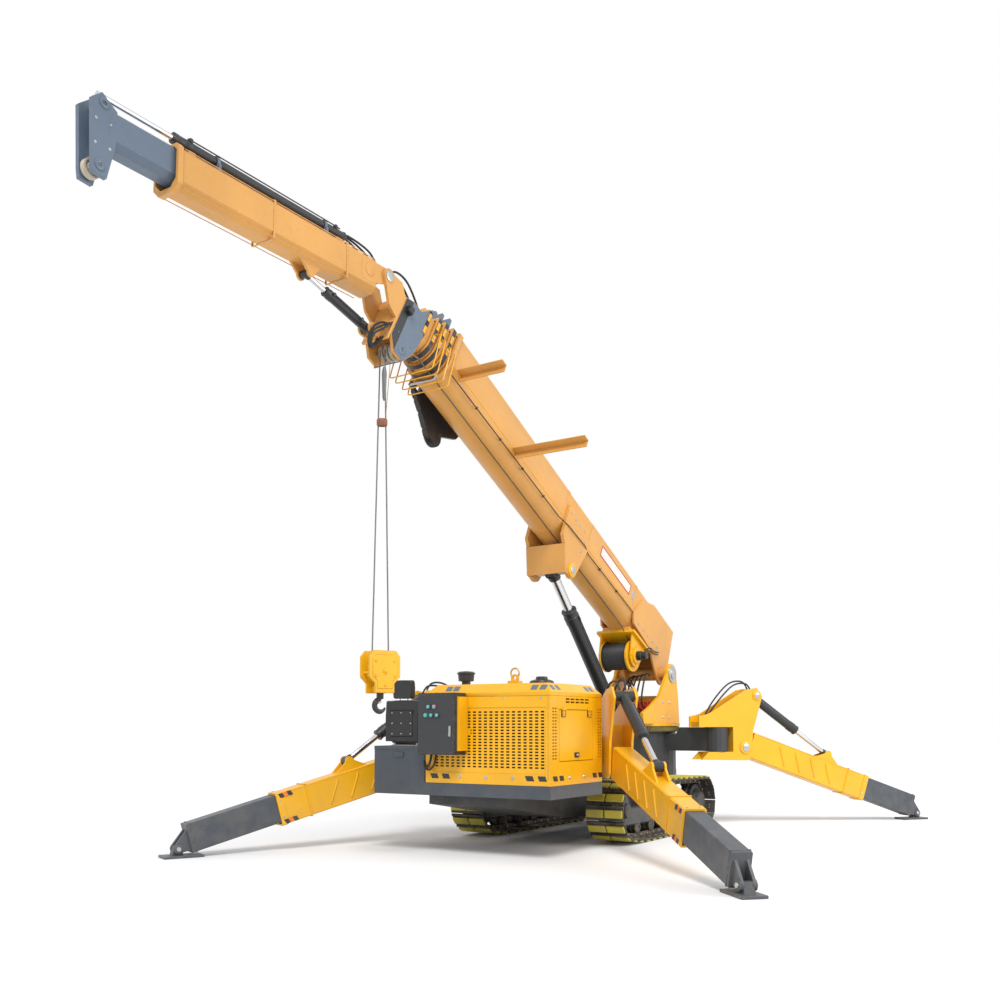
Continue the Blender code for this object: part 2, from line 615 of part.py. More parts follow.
def hood():
    front = DECK_FRONT_Y + 0.002
    outside = ((HOOD_LEFT_X, DECK_HALF_WIDTH), (front, DECK_REAR_Y), (DECK_TOP + GAP, HOOD_TOP))
    wall = HOOD_WALL
    shell = block(*outside, bevel=HOOD_BEVEL, edges="top")
    eye_x = 0.36
    eye_y = DOOR_MIDDLE_Y - 0.02
    eye = [block((eye_x - 0.06, eye_x + 0.06), (eye_y - 0.05, eye_y + 0.05), (HOOD_TOP - 0.01, HOOD_TOP + 0.045)),
           outline(arc((eye_x, HOOD_TOP + 0.07), 0.045, -60, 240, 12), "y", eye_y - 0.012, eye_y + 0.012,
                   [circle((eye_x, HOOD_TOP + 0.075), 0.02, 12)])]
    inside = block((HOOD_LEFT_X + wall, DECK_HALF_WIDTH - wall), (front + wall, DECK_REAR_Y - wall),
                   (DECK_TOP - 0.1, HOOD_TOP - wall), HOOD_BEVEL - 0.4 * wall, "top")
    grille_hole = block((GRILLE_LEFT_X - GAP, GRILLE_RIGHT_X + GAP), (front - 0.1, front + 0.1),
                        (GRILLE_BOTTOM - GAP, GRILLE_TOP + GAP))
    door_y = (DOOR_MIDDLE_Y - DOOR_LENGTH / 2, DOOR_MIDDLE_Y + DOOR_LENGTH / 2)
    door_hole = block((DECK_HALF_WIDTH - 0.1, DECK_HALF_WIDTH + 0.1),
                      (door_y[0] - DOOR_GAP, door_y[1] + DOOR_GAP),
                      (DOOR_BOTTOM - DOOR_GAP, DOOR_BOTTOM + DOOR_HEIGHT + DOOR_GAP))
    node("hood_shell", MACHINE, "amber_paint", [shell, *eye], [inside, grille_hole, door_hole])

    slots = []
    width = GRILLE_RIGHT_X - GRILLE_LEFT_X
    height = GRILLE_TOP - GRILLE_BOTTOM
    pitch_x = (width - 2 * GRILLE_RIM) / GRILLE_COLUMNS
    pitch_z = (height - 2 * GRILLE_RIM) / GRILLE_ROWS
    for column in range(GRILLE_COLUMNS):
        for row in range(GRILLE_ROWS):
            x = GRILLE_LEFT_X + GRILLE_RIM + pitch_x * (column + 0.5)
            z = GRILLE_BOTTOM + GRILLE_RIM + pitch_z * (row + 0.5)
            w = pitch_x * SLOT_FILL[0] / 2
            h = pitch_z * SLOT_FILL[1] / 2
            slots.append([(x - w, z - h), (x + w, z - h), (x + w, z + h), (x - w, z + h)])
    rim = [(GRILLE_LEFT_X, GRILLE_BOTTOM), (GRILLE_RIGHT_X, GRILLE_BOTTOM),
           (GRILLE_RIGHT_X, GRILLE_TOP), (GRILLE_LEFT_X, GRILLE_TOP)]
    node("hood_grille", MACHINE, "amber_paint",
         [outline(rim, "y", front + 0.004, front + 0.016, slots)])

    hinge_z = DOOR_BOTTOM + DOOR_HEIGHT + DOOR_GAP
    knuckle = 0.012
    axis = frame("hood_door_axis", MACHINE, (DECK_HALF_WIDTH + knuckle + GAP, DOOR_MIDDLE_Y, hinge_z))
    half = DOOR_LENGTH / 2
    skin = (-knuckle - GAP - wall, -knuckle - GAP)
    pieces = [block(skin, (-half, half), (-DOOR_GAP - DOOR_HEIGHT, -DOOR_GAP))]
    for y in (-0.28, 0.28):
        pieces.append(rod((0, y - 0.035, 0), (0, y + 0.035, 0), knuckle, 10))
        pieces.append(block((-knuckle - 0.003, -0.004), (y - 0.03, y + 0.03), (-0.07, -0.004)))
    node("hood_door", axis, "amber_paint", pieces)

    length, width, height = ENGINE_SIZE
    node("engine_block", MACHINE, "grey_paint",
         [block((0.06, 0.06 + length), (DECK_FRONT_Y + 0.204, DECK_FRONT_Y + 0.204 + width),
                (DECK_TOP + GAP, DECK_TOP + height), 0.03)])
    top = HOOD_TOP + GAP
    node("intake_cap", MACHINE, "black_paint",
         [rod((-0.26, DOOR_MIDDLE_Y, top), (-0.26, DOOR_MIDDLE_Y, top + 0.06), 0.04),
          block((-0.345, -0.175), (DOOR_MIDDLE_Y - 0.085, DOOR_MIDDLE_Y + 0.085), (top + 0.05, top + 0.155), 0.012)])
    cap_y = DOOR_MIDDLE_Y - 0.06
    node("filler_cap", MACHINE, "black_paint",
         [rod((0.70, cap_y, top), (0.70, cap_y, top + 0.045), 0.12, 20),
          rod((0.70, cap_y, top + 0.04), (0.70, cap_y, top + 0.065), 0.06, 16)])


def cabinet():
    back = DECK_FRONT_Y + 0.002 - GAP
    front = back - CABINET_DEPTH + CABINET_DOOR
    case = block(CABINET_X, (front, back), CABINET_Z)
    room = block((CABINET_X[0] + CABINET_WALL, CABINET_X[1] - CABINET_WALL), (front - 0.1, back - CABINET_WALL),
                 (CABINET_Z[0] + CABINET_WALL, CABINET_Z[1] - CABINET_WALL))
    node("control_cabinet", MACHINE, "grey_paint", [case], [room])
    pin = 0.006
    axis = frame("cabinet_door_axis", MACHINE, (CABINET_X[0] - pin, front - CABINET_DOOR / 2 - GAP, 0))
    width = CABINET_X[1] - CABINET_X[0]
    deep = CABINET_DOOR / 2
    handle_z = CABINET_Z[0] + 0.25
    node("cabinet_door", axis, "grey_paint",
         [block((pin, width + pin), (-deep, deep), CABINET_Z),
          block((width - 0.069, width - 0.039), (-deep - 0.014, -deep + 0.004),
                (handle_z - 0.05, handle_z + 0.05), 0.008)])


def seat():
    back_y = DECK_FRONT_Y + 0.12
    half = SEAT_WIDTH / 2
    base = TOOLBOX_TOP + GAP
    x = (SEAT_X - half, SEAT_X + half)
    node("seat", MACHINE, "vinyl",
         [block((x[0] + 0.05, x[1] - 0.05), (back_y + 0.04, back_y + 0.42), (base, base + 0.09), 0.01),
          block(x, (back_y, back_y + 0.46), (base + 0.08, base + 0.19), 0.03),
          block(x, (back_y - 0.06, back_y + 0.06), (base + 0.04, base + 0.48), 0.04),
          block((SEAT_X - 0.12, SEAT_X + 0.12), (back_y - 0.05, back_y + 0.03), (base + 0.46, base + 0.70), 0.03)])


def turntable():
    plate_top = RING_TOP + GAP + TURNTABLE_PLATE
    low = plate_top - 0.005
    pivot = (-PIVOT_BACK, PIVOT_HEIGHT)
    post = ([(0.66, low), (0.70, 1.47), (0.484, 1.553), (0.20, 1.70)]
            + arc(pivot, POST_HEAD_RADIUS, 0.0, 180.0, 10) + [(-0.396, 1.70), (-0.43, low)])
    base = (LIFT_BASE_AHEAD, LIFT_BASE_HEIGHT)
    cheek = [(0.50, low), (NOSE_REACH, low)] + arc(base, NOSE_REACH - base[0], 0.0, 150.0, 8)
    nose = LIFT_EYE_HALF + LIFT_CHEEK
    pieces = [
        rod((0, 0, RING_TOP + GAP), (0, 0, plate_top), TURNTABLE_RADIUS, 32),
        block((-nose, nose), (-NOSE_REACH, -0.4), (RING_TOP + GAP + 0.001, plate_top - 0.001)),
        *plates(post, POST_INNER_X, POST_INNER_X + POST_THICKNESS),
        *plates(cheek, LIFT_EYE_HALF, nose),
        block((-POST_INNER_X - 0.01, POST_INNER_X + 0.01), (0.34, 0.37), (low, 1.72)),
        block((-POST_INNER_X - 0.01, POST_INNER_X + 0.01), (-0.42, -0.39), (low, 1.46)),
    ]
    node("turntable", SLEW, "amber_paint", pieces)
    at = (-0.21, 0.06)
    node("slew_motor", SLEW, "blue_paint",
         [rod((*at, plate_top + GAP), (*at, plate_top + 0.16), 0.085, 20),
          rod((*at, plate_top + 0.15), (*at, plate_top + 0.34), 0.06, 16)])


def u_section(narrower, wall):
    """The boom's section, round below and flat on top, as (x, z) points."""
    half = BOOM_WIDTH / 2 - narrower / 2 - wall
    top = BOOM_TOP - narrower / 2 - wall
    bevel = 0.02
    return (arc((0, BOOM_SEAM), half, 180.0, 360.0, 9)
            + [(half, top - bevel), (half - bevel, top), (bevel - half, top), (-half, top - bevel)])


def boom_bar(start, end, narrower, wall=0.0):
    return outline(u_section(narrower, wall), "y", -end, -start)


def boom_collar(start, end, narrower, fin_top):
    """The band round a section's mouth, with the upright fin on top."""
    top = BOOM_TOP - narrower / 2
    half = BOOM_WIDTH / 2 - narrower / 2
    fin = [(start, top - 0.004), (end, top - 0.004), (end - 0.012, fin_top), (start + 0.012, fin_top)]
    return [boom_bar(start, end, narrower - 2 * COLLAR_RIM),
            outline(side(fin), "x", -half * 0.45, half * 0.45)]


def boom_base():
    lug = LIFT_PIN
    bracket = [(3.108, 0.516), (2.60, 0.525), (2.50, 0.30), (2.62, -0.19)] \
        + arc(lug, 0.10, 200.0, 300.0, 6) + [(2.80, -0.27), (2.99, 0.017), (3.08, 0.10)]
    box_front = [(2.985, 0.03), (2.81, -0.265), (2.83, -0.275), (3.01, 0.02)]
    foot = arc((0, 0), FOOT_PIN_RADIUS, 170.0, 300.0, 8) + [
        (0.308, 0.017), (0.44, 0.13), (1.02, 0.18), (1.10, 0.30), (0.95, 0.60), (0.62, 0.73), (-0.06, 0.73)]
    inside = BOOM_WIDTH / 2 - 0.001
    web = inside + 0.005
    saddle = WINCH_PLATE_TOP + GAP
    pieces = [
        boom_bar(BOOM_START, BOOM_END, 0.0),
        boom_bar(BOOM_END - COLLAR_LENGTH, BOOM_END - 0.001, -2 * COLLAR_RIM),
        *plates(foot, inside, inside + FOOT_PLATE),
        cross_pin((0, 0), POST_INNER_X - GAP, 0.085, 20),
        block((-web, web), (-0.66, 0.04), (BOOM_TOP - 0.011, BOOM_TOP - 0.002)),
        block((-web, web), (0.02, 0.035), (0.06, BOOM_TOP - 0.005)),
        *plates(bracket, inside, LIFT_LUG_X),
        outline(side(box_front), "x", -LIFT_LUG_X + 0.002, LIFT_LUG_X - 0.002),
        block((-0.20, 0.20), (-1.02, -0.52), (saddle, 0.135)),
    ]
    for s, t, length in BARS:
        out = BOOM_WIDTH / 2 - 0.002
        pieces.append(block((out, out + length), (-s - BAR_LEG / 2, -s + BAR_LEG / 2), (t - BAR_PLATE, t)))
        pieces.append(block((out + 0.0005, out + length - 0.0005),
                            (-s + BAR_LEG / 2 - BAR_PLATE, -s + BAR_LEG / 2 - 0.0005),
                            (t - BAR_LEG, t - 0.002)))
    node("boom_base", BOOM, "amber_paint", pieces,
         [boom_bar(BOOM_START - 0.1, BOOM_END + 0.1, 0.0, BOOM_WALL)])


def winch():
    s, t = WINCH_AT
    inner = DRUM_HALF_LENGTH + 0.02
    cheek = arc(WINCH_AT, 0.15, 180.0, 360.0, 8) + [(s + 0.22, WINCH_PLATE_TOP - 0.03),
                                                      (s - 0.22, WINCH_PLATE_TOP - 0.03)]
    node("winch_frame", BOOM, "amber_paint",
         [block((-inner - 0.06, inner + 0.06), (-s - 0.26, -s + 0.26), (WINCH_PLATE_TOP - 0.035, WINCH_PLATE_TOP)),
          *plates(cheek, inner, inner + WINCH_CHEEK)])
    axis = frame("winch_axis", BOOM, (0, -s, t))
    flange = 0.03
    node("winch_drum", axis, "rope_steel",
         [cross_pin((0, 0), DRUM_HALF_LENGTH - 0.01, DRUM_RADIUS, 18),
          rod((-DRUM_HALF_LENGTH, 0, 0), (-DRUM_HALF_LENGTH + flange, 0, 0), DRUM_FLANGE_RADIUS, 18),
          rod((DRUM_HALF_LENGTH - flange, 0, 0), (DRUM_HALF_LENGTH, 0, 0), DRUM_FLANGE_RADIUS, 18),
          cross_pin((0, 0), inner - GAP, 0.06)])


def boom_sections():
    """Sections two to five, each in its own sliding frame, and the last one's empty is returned."""
    parent = BOOM
    # section number, start of its collar, top of its fin
    rows = ((2, 5.739, 0.893), (3, 5.848, 0.857), (4, 5.936, 0.801), (5, 6.068, 0.711))
    for number, collar, fin in rows:
        narrower = BOOM_STEP * (number - 1)
        wall_before = BOOM_WALL if number == 2 else SECTION_WALL
        tail = BOOM_START + 0.06 * (number - 1)
        inner_top = BOOM_TOP - (narrower - BOOM_STEP) / 2 - wall_before
        top = BOOM_TOP - narrower / 2
        pieces = [
            boom_bar(tail, collar + COLLAR_LENGTH, narrower),
            *boom_collar(collar, collar + COLLAR_LENGTH - 0.001, narrower, fin),
            block((-0.06, 0.06), (-tail - 0.12, -tail - 0.002), (top - 0.005, inner_top - SLIDE)),
        ]
        if number == 5:
            pieces += head_plates(narrower)
        axis = frame("boom_section_%d_axis" % number, parent)
        node("boom_section_%d" % number, axis, "amber_paint", pieces,
             [boom_bar(tail - 0.1, collar + COLLAR_LENGTH + 0.001, narrower, SECTION_WALL)])
        parent = axis
    return parent


def head_plates(narrower):
    top = BOOM_TOP - narrower / 2
    cheek = [(HEAD_BACK, top - 0.02), (6.212, 0.51), (6.337, 0.508), (HEAD_FRONT, 0.46), (HEAD_FRONT, -0.03),
             (6.34, -0.16), (6.20, -0.16), (6.12, 0.0), (HEAD_BACK, 0.20)]
    inner = HEAD_PLATE_X - HEAD_PLATE
    return [*plates(cheek, inner, HEAD_PLATE_X),
            block((-inner - 0.01, inner + 0.01), (-HEAD_FRONT, -HEAD_FRONT + 0.025), (0.05, 0.459)),
            block((-inner - 0.01, inner + 0.01), (-HEAD_FRONT + 0.01, -6.11), (0.40, 0.42))]


def turned(profile, x, at, sides=16):
    """A ring turned about an axis across the frame, from a closed (x, radius) profile."""
    mesh = bpy.data.meshes.new("profile")
    count = len(profile)
    edges = [(index, (index + 1) % count) for index in range(count)]
    mesh.from_pydata([(radius, 0.0, along_x) for along_x, radius in profile], edges, [])
    source = bpy.data.objects.new("profile", mesh)
    PARTS.objects.link(source)
    screw = source.modifiers.new("turn", "SCREW")
    screw.steps = sides
    screw.render_steps = sides
    screw.use_merge_vertices = True
    screw.merge_threshold = 1e-5
    bpy.context.view_layer.update()
    result = bpy.data.meshes.new_from_object(source.evaluated_get(bpy.context.evaluated_depsgraph_get()))
    bpy.data.objects.remove(source, do_unlink=True)
    shape = bmesh.new()
    shape.from_mesh(result)
    bpy.data.meshes.remove(result)
    place = Matrix.Translation((x, -at[0], at[1])) @ Matrix.Rotation(math.radians(90.0), 4, "Y")
    bmesh.ops.transform(shape, matrix=place, verts=shape.verts)
    return from_bmesh(shape)


def sheave_wheel(x, at, radius, width):
    """A rope wheel with a groove between its rims, and a bore for its pin."""
    half = width / 2
    rim = 0.005
    groove = radius * SHEAVE_GROOVE
    bore = 0.015
    return turned([(-half, bore), (-half, radius), (rim - half, radius), (0.75 * rim - 0.5 * half, groove),
                   (0.5 * half - 0.75 * rim, groove), (half - rim, radius), (half, radius), (half, bore)], x, at)


def boom_head(last):
    inner = HEAD_PLATE_X - HEAD_PLATE
    pieces = [cross_pin(SHEAVE_AT, inner - GAP, 0.028)]
    for index in (-0.5, 0.5, 1.5):
        pieces.append(sheave_wheel(index * SHEAVE_PITCH, SHEAVE_AT, SHEAVE_RADIUS, SHEAVE_WIDTH))
    node("head_sheaves", last, "nylon", pieces)
    back = HEAD_FRONT + GAP
    root = back + 0.004
    ear = [(root, 0.44), (6.56, 0.54)] + arc(JIB_PIVOT, 0.075, 120.0, -60.0, 8) + [(6.60, 0.20), (root, 0.16)]
    lug = [(root, 0.05)] + arc(LUFF_BASE, 0.05, 60.0, -120.0, 8) + [(root, -0.09)]
    ear_inner = JIB_WIDTH / 2 + 0.0015
    node("jib_knuckle", last, "amber_paint",
         [block((-ear_inner - 0.03, ear_inner + 0.03), (-back - 0.025, -back), (-0.10, 0.455)),
          *plates(ear, ear_inner, ear_inner + 0.03),
          *plates(lug, LUG_INNER, LUG_INNER + LUG_PLATE)])


def jib(last):
    axis = frame("jib_axis", last, (0, -JIB_PIVOT[0], JIB_PIVOT[1]), JIB_ANGLE - BOOM_ANGLE)
    low = JIB_TOP - JIB_HEIGHT
    half = JIB_WIDTH / 2
    outer = boxed(JIB_WIDTH, JIB_TOP, low, 0.03, 0.06)
    inner = boxed(JIB_WIDTH - 2 * JIB_WALL, JIB_TOP - JIB_WALL, low + JIB_WALL, 0.03, 0.06)
    band = boxed(JIB_WIDTH + 0.03, JIB_TOP + 0.015, low - 0.03, 0.03, 0.06)
    ear = arc((0, 0), 0.075, 90.0, 270.0, 8) + [(0.24, low + 0.08), (0.36, low + 0.09), (0.36, JIB_TOP - 0.04),
                                                 (0.22, JIB_TOP - 0.035)]
    lug_s, lug_t = LUFF_LUG
    luff = [(lug_s - 0.14, low + 0.01), (lug_s - 0.045, lug_t)] + arc(LUFF_LUG, 0.045, 180.0, 360.0, 8) \
        + [(lug_s + 0.14, low + 0.01)]
    cyl = JIB_CYLINDER_H
    saddle = [(0.50, JIB_TOP - 0.01), (0.62, JIB_TOP - 0.01), (0.60, cyl - JIB_BARREL_RADIUS),
              (0.52, cyl - JIB_BARREL_RADIUS)]
    rest = [(2.20, JIB_TOP - 0.01), (2.30, JIB_TOP - 0.01), (2.28, cyl - JIB_BARREL_RADIUS - GAP),
            (2.22, cyl - JIB_BARREL_RADIUS - GAP)]
    saddle = [(f, min(z, cyl - JIB_BARREL_RADIUS - GAP)) for f, z in saddle]
    node("jib_base", axis, "amber_paint",
         [outline(outer, "y", -JIB_END, -JIB_START),
          outline(band, "y", -JIB_END + 0.001, -JIB_END + 0.05),
          *plates(ear, half - 0.012, half + 0.0012),
          *plates(luff, LUG_INNER, LUG_INNER + LUG_PLATE),
          outline(side(saddle), "x", -0.03, 0.03),
          outline(side(rest), "x", -0.03, 0.03)],
         [outline(inner, "y", -JIB_END - 0.1, -JIB_START - 0.01)])
    node("jib_tele_barrel", axis, "black_paint",
         [bar((0.46, cyl), (2.42, cyl), JIB_BARREL_RADIUS)],
         [bar((0.60, cyl), (2.60, cyl), JIB_ROD_RADIUS + SLIDE)])

    slide = frame("jib_extension_axis", axis)
    ext_top = JIB_TOP - JIB_WALL - SLIDE
    ext_low = ext_top - JIB_EXT_HEIGHT
    pin_s = 3.107
    pin_t = -0.35
    head = [(JIB_HEAD_AT - 0.11, ext_top), (JIB_HEAD_AT + 0.02, 0.19), (JIB_HEAD_AT + 0.10, 0.12),
            (pin_s + 0.06, pin_t), (pin_s + 0.05, pin_t - 0.07), (pin_s - 0.06, pin_t - 0.08),
            (pin_s - 0.09, pin_t + 0.05), (JIB_HEAD_AT - 0.11, ext_low + 0.02)]
    node("jib_extension", slide, "blue_grey_paint",
         [outline(boxed(JIB_EXT_WIDTH, ext_top, ext_low, 0.02, 0.05), "y", -JIB_HEAD_AT + 0.05, -JIB_EXT_START),
          *plates(head, 0.062, 0.099)])
    node("jib_tele_rod", slide, "chrome",
         [bar((JIB_EXT_START + 0.40, cyl), (JIB_HEAD_AT, cyl), JIB_ROD_RADIUS),
          cross_pin((JIB_HEAD_AT, 0.16), 0.0617, 0.025),
          outline(side([(JIB_HEAD_AT - 0.03, 0.16), (JIB_HEAD_AT + 0.03, 0.16), (JIB_HEAD_AT + 0.03, cyl + 0.03),
                        (JIB_HEAD_AT - 0.03, cyl + 0.03)]), "x", -0.03, 0.03)])
    node("jib_tip_sheave", slide, "nylon",
         [cross_pin((pin_s, pin_t), 0.0617, 0.022), sheave_wheel(0.0, (pin_s, pin_t), 0.075, 0.05)])

    angle = math.radians(JIB_ANGLE - BOOM_ANGLE)
    tip = (JIB_PIVOT[0] + lug_s * math.cos(angle) - lug_t * math.sin(angle),
           JIB_PIVOT[1] + lug_s * math.sin(angle) + lug_t * math.cos(angle))
    cylinder("luff", last, LUFF_BASE, tip,
             {"barrel": LUFF_BARREL_RADIUS, "rod": LUFF_ROD_RADIUS, "length": LUFF_BARREL_LENGTH, "cap": 0.05,
              "eye": 0.04, "base_half": LUG_INNER, "tip_eye": LUFF_EYE, "tip_half": LUG_INNER,
              "tip_pin_half": LUG_INNER, "rod_length": LUFF_BARREL_LENGTH - 0.06})


def hook(last):
    """The rope's falls and the hook block, hanging plumb from the head sheaves."""
    swing = frame("hook_swing_axis", last, (0, -SHEAVE_AT[0], SHEAVE_AT[1]), -BOOM_ANGLE)
    ahead = SHEAVE_RADIUS * SHEAVE_GROOVE + ROPE_RADIUS + GAP
    turn = Matrix.Translation((0, -ahead, -HOOK_DROP)) @ Matrix.Rotation(math.radians(BLOCK_TURN), 4, "Z")
    drop = BLOCK_SHEAVE + ROPE_RADIUS
    dip = 0.12
    ends = [turn @ Vector((0, y, -dip)) for y in (-drop, drop)]
    tops = [Vector((x, -ahead, 0.0)) for x in (-SHEAVE_PITCH / 2, SHEAVE_PITCH / 2)]
    node("hoist_rope", swing, "rope_steel",
         [rod(ends[0], tops[0], ROPE_RADIUS, 8), rod(ends[1], tops[1], ROPE_RADIUS, 8),
          rod(ends[0] - (ends[1] - ends[0]) * 0.02, ends[1] + (ends[1] - ends[0]) * 0.02, ROPE_RADIUS, 8)])
    hoist = frame("hoist_axis", swing)
    half = BLOCK_WIDTH / 2
    high = 0.0
    low = -BLOCK_HEIGHT
    neck = half * 0.62
    cheek = [(-half, low * 0.62), (-neck, low * 0.78), (-neck, low), (neck, low), (neck, low * 0.78),
             (half, low * 0.62), (half, low * 0.14), (half * 0.72, high), (-half * 0.72, high), (-half, low * 0.14)]
    inner = BLOCK_THICKNESS / 2 - CHEEK
    wheel = BLOCK_SHEAVE - 0.012
    sheave_z = -dip - ROPE_RADIUS - GAP - wheel
    pieces = [*plates(cheek, inner, inner + CHEEK),
              cross_pin((0, sheave_z), inner + 0.005, wheel, 16),
              block((-inner - 0.005, inner + 0.005), (-0.055, 0.055), (low, low + 0.07))]
    for y in (-half * 0.8, half * 0.8):
        pieces.append(rod((-inner - 0.005, y, low * 0.52), (inner + 0.005, y, low * 0.52), 0.012, 8))
    node("hook_block", hoist, "amber_paint", [moved(piece, turn) for piece in pieces])
    bend = 0.058
    curl = [(0, 0, low + 0.004 - GAP - 0.004), (0, 0, low - 0.06)]
    curl += [(0, bend * math.sin(math.radians(a)) - 0.0, low - 0.06 - bend - bend * -math.cos(math.radians(a)))
             for a in (25, 50, 75, 100, 125, 150, 175, 200, 225, 250)]
    node("hook", hoist, "black_paint",
         [moved(tube(curl, 0.02), turn),
          moved(rod((0, 0, low - 0.055), (0, 0, low - GAP), 0.034, 12), turn)])


def outrigger(name, sign, is_front, heading, length, lug_at, barrel_length):
    drop = FRONT_LEG_DROP if is_front else 0.0
    y = SLEW_Y - REAR_LEGS_AHEAD - (WHEELBASE if is_front else 0.0)
    x = sign * (FRONT_LEG_X if is_front else REAR_LEG_X)
    turn = sign * (90.0 - heading if is_front else 90.0 + heading)
    swivel = frame(name + "_swivel_axis", MACHINE, (x, y, 0), 0.0, turn)
    boss_top = CROSSBEAM_TOP - drop + BOSS_PROUD
    boss_low = CROSSBEAM_BOTTOM - drop - BOSS_PROUD
    notch_top = boss_top + GAP
    notch_low = boss_low - RUN
    hinge = (LEG_HINGE_R, LEG_HINGE_Z - (LEG_HINGE_DROP if is_front else 0.0))
    pin = (LEG_PIN_R, LEG_PIN_Z - drop)
    notch_end = LEG_BOSS_RADIUS + 0.021
    shape = [
        (-0.331, notch_top), (notch_end, notch_top), (notch_end, notch_low), (-0.19, notch_low),
        (-0.299, notch_low - 0.10), (0.389, 0.853 - drop), (0.445, 0.90 - drop), (0.471, 1.238 - drop),
        (0.617, 1.687 - drop), (0.538, 1.805 - drop), (0.374, 1.777 - drop), (-0.184, 1.459 - drop),
        (-0.331, 1.427 - drop),
    ]
    inner = BRACKET_HALF - BRACKET_PLATE
    web = inner + 0.004
    node(name + "_bracket", swivel, "amber_paint",
         [*plates(shape, inner, BRACKET_HALF),
          block((-web, web), (-notch_end + 0.001, 0.31), (notch_top + 0.001, notch_top + 0.07)),
          block((-web, web), (-notch_end + 0.001, 0.17), (notch_low - 0.08, notch_low - 0.001)),
          block((-web, web), (-notch_end - 0.03, -notch_end - 0.001), (0.87 - drop, notch_top + 0.12))])

    foot_ahead = length + FOOT_PIN_AHEAD
    slope = math.degrees(math.asin((hinge[1] - FOOT_PIN_Z) / foot_ahead))
    lift = frame(name + "_lift_axis", swivel, (0, -hinge[0], hinge[1]), -slope)
    low = LEG_TOP - LEG_HEIGHT
    start = 0.10
    outer = boxed(LEG_WIDTH, LEG_TOP, low, 0.012, 0.012)
    inside = boxed(LEG_WIDTH - 2 * LEG_WALL, LEG_TOP - LEG_WALL, low + LEG_WALL, 0.004, 0.004)
    band = boxed(LEG_WIDTH + 0.014, LEG_TOP + 0.007, low - 0.007, 0.012, 0.012)
    lug = [(lug_at - 0.20, LEG_TOP - 0.01), (lug_at - 0.05, LUG_HEIGHT)] \
        + arc((lug_at, LUG_HEIGHT), 0.05, 180.0, 0.0, 8) + [(lug_at + 0.20, LEG_TOP - 0.01)]
    node(name + "_leg", lift, "amber_paint",
         [outline(outer, "y", -LEG_LENGTH, -start),
          outline(band, "y", -LEG_LENGTH - GAP, -LEG_LENGTH + COLLAR_BAND),
          cross_pin((0, 0), inner - GAP, 0.07),
          outline(side([(0, 0.068), (0, -0.068), (start + 0.02, low + 0.02), (start + 0.02, 0.12)]), "x",
                  -LEG_WIDTH / 2 + 0.002, LEG_WIDTH / 2 - 0.002),
          *plates(lug, LUG_INNER, LUG_INNER + LUG_PLATE)],
         [outline(inside, "y", -LEG_LENGTH - 0.1, -start - 0.03)])

    slide = frame(name + "_extension_axis", lift)
    ext_top = LEG_TOP - LEG_WALL - SLIDE
    ext_low = ext_top - EXT_HEIGHT
    level = Matrix.Translation((0, -foot_ahead, 0)) @ Matrix.Rotation(math.radians(-slope), 4, "X")
    pad = [block((-0.11, 0.11), (-0.15, 0.25), (-FOOT_PIN_Z, -FOOT_PIN_Z + 0.025), 0.004),
           outline([(0.06, -FOOT_PIN_Z + 0.01), (0.035, 0.03), (-0.035, 0.03), (-0.06, -FOOT_PIN_Z + 0.01)], "x",
                   -0.045, 0.045)]
    fork = [(length - 0.10, ext_top - 0.03), (length, ext_top - 0.06)] \
        + arc((foot_ahead, 0), 0.05, 60.0, -120.0, 8) + [(length - 0.10, ext_low + 0.02)]
    node(name + "_extension", slide, "grey_paint",
         [outline(boxed(EXT_WIDTH, ext_top, ext_low, 0.008, 0.008), "y", -length, -LEG_LENGTH + EXT_TUCKED),
          *plates(fork, 0.04, 0.065),
          *[moved(piece, level) for piece in pad]])

    tilt = math.radians(-slope)
    tip = (hinge[0] + lug_at * math.cos(tilt) - LUG_HEIGHT * math.sin(tilt),
           hinge[1] + lug_at * math.sin(tilt) + LUG_HEIGHT * math.cos(tilt))
    cylinder(name, swivel, pin, tip,
             {"barrel": LEG_CYL_RADIUS, "rod": LEG_ROD_RADIUS, "length": barrel_length, "cap": 0.06,
              "eye": LEG_CYL_EYE, "base_half": inner, "tip_eye": LEG_CYL_EYE * 0.9, "tip_half": LUG_INNER,
              "tip_pin_half": LUG_INNER, "rod_length": barrel_length - 0.07})


def lift_cylinder():
    angle = math.radians(BOOM_ANGLE)
    tip = (-PIVOT_BACK + LIFT_PIN[0] * math.cos(angle) - LIFT_PIN[1] * math.sin(angle),
           PIVOT_HEIGHT + LIFT_PIN[0] * math.sin(angle) + LIFT_PIN[1] * math.cos(angle))
    cylinder("lift", SLEW, (LIFT_BASE_AHEAD, LIFT_BASE_HEIGHT), tip,
             {"barrel": LIFT_BARREL_RADIUS, "rod": LIFT_ROD_RADIUS, "length": LIFT_BARREL_LENGTH, "cap": 0.09,
              "eye": LIFT_EYE_RADIUS, "base_half": LIFT_EYE_HALF, "tip_eye": LIFT_ROD_EYE, "tip_half": 0.07,
              "tip_pin_half": BOOM_WIDTH / 2 - 0.001, "rod_length": 1.68})


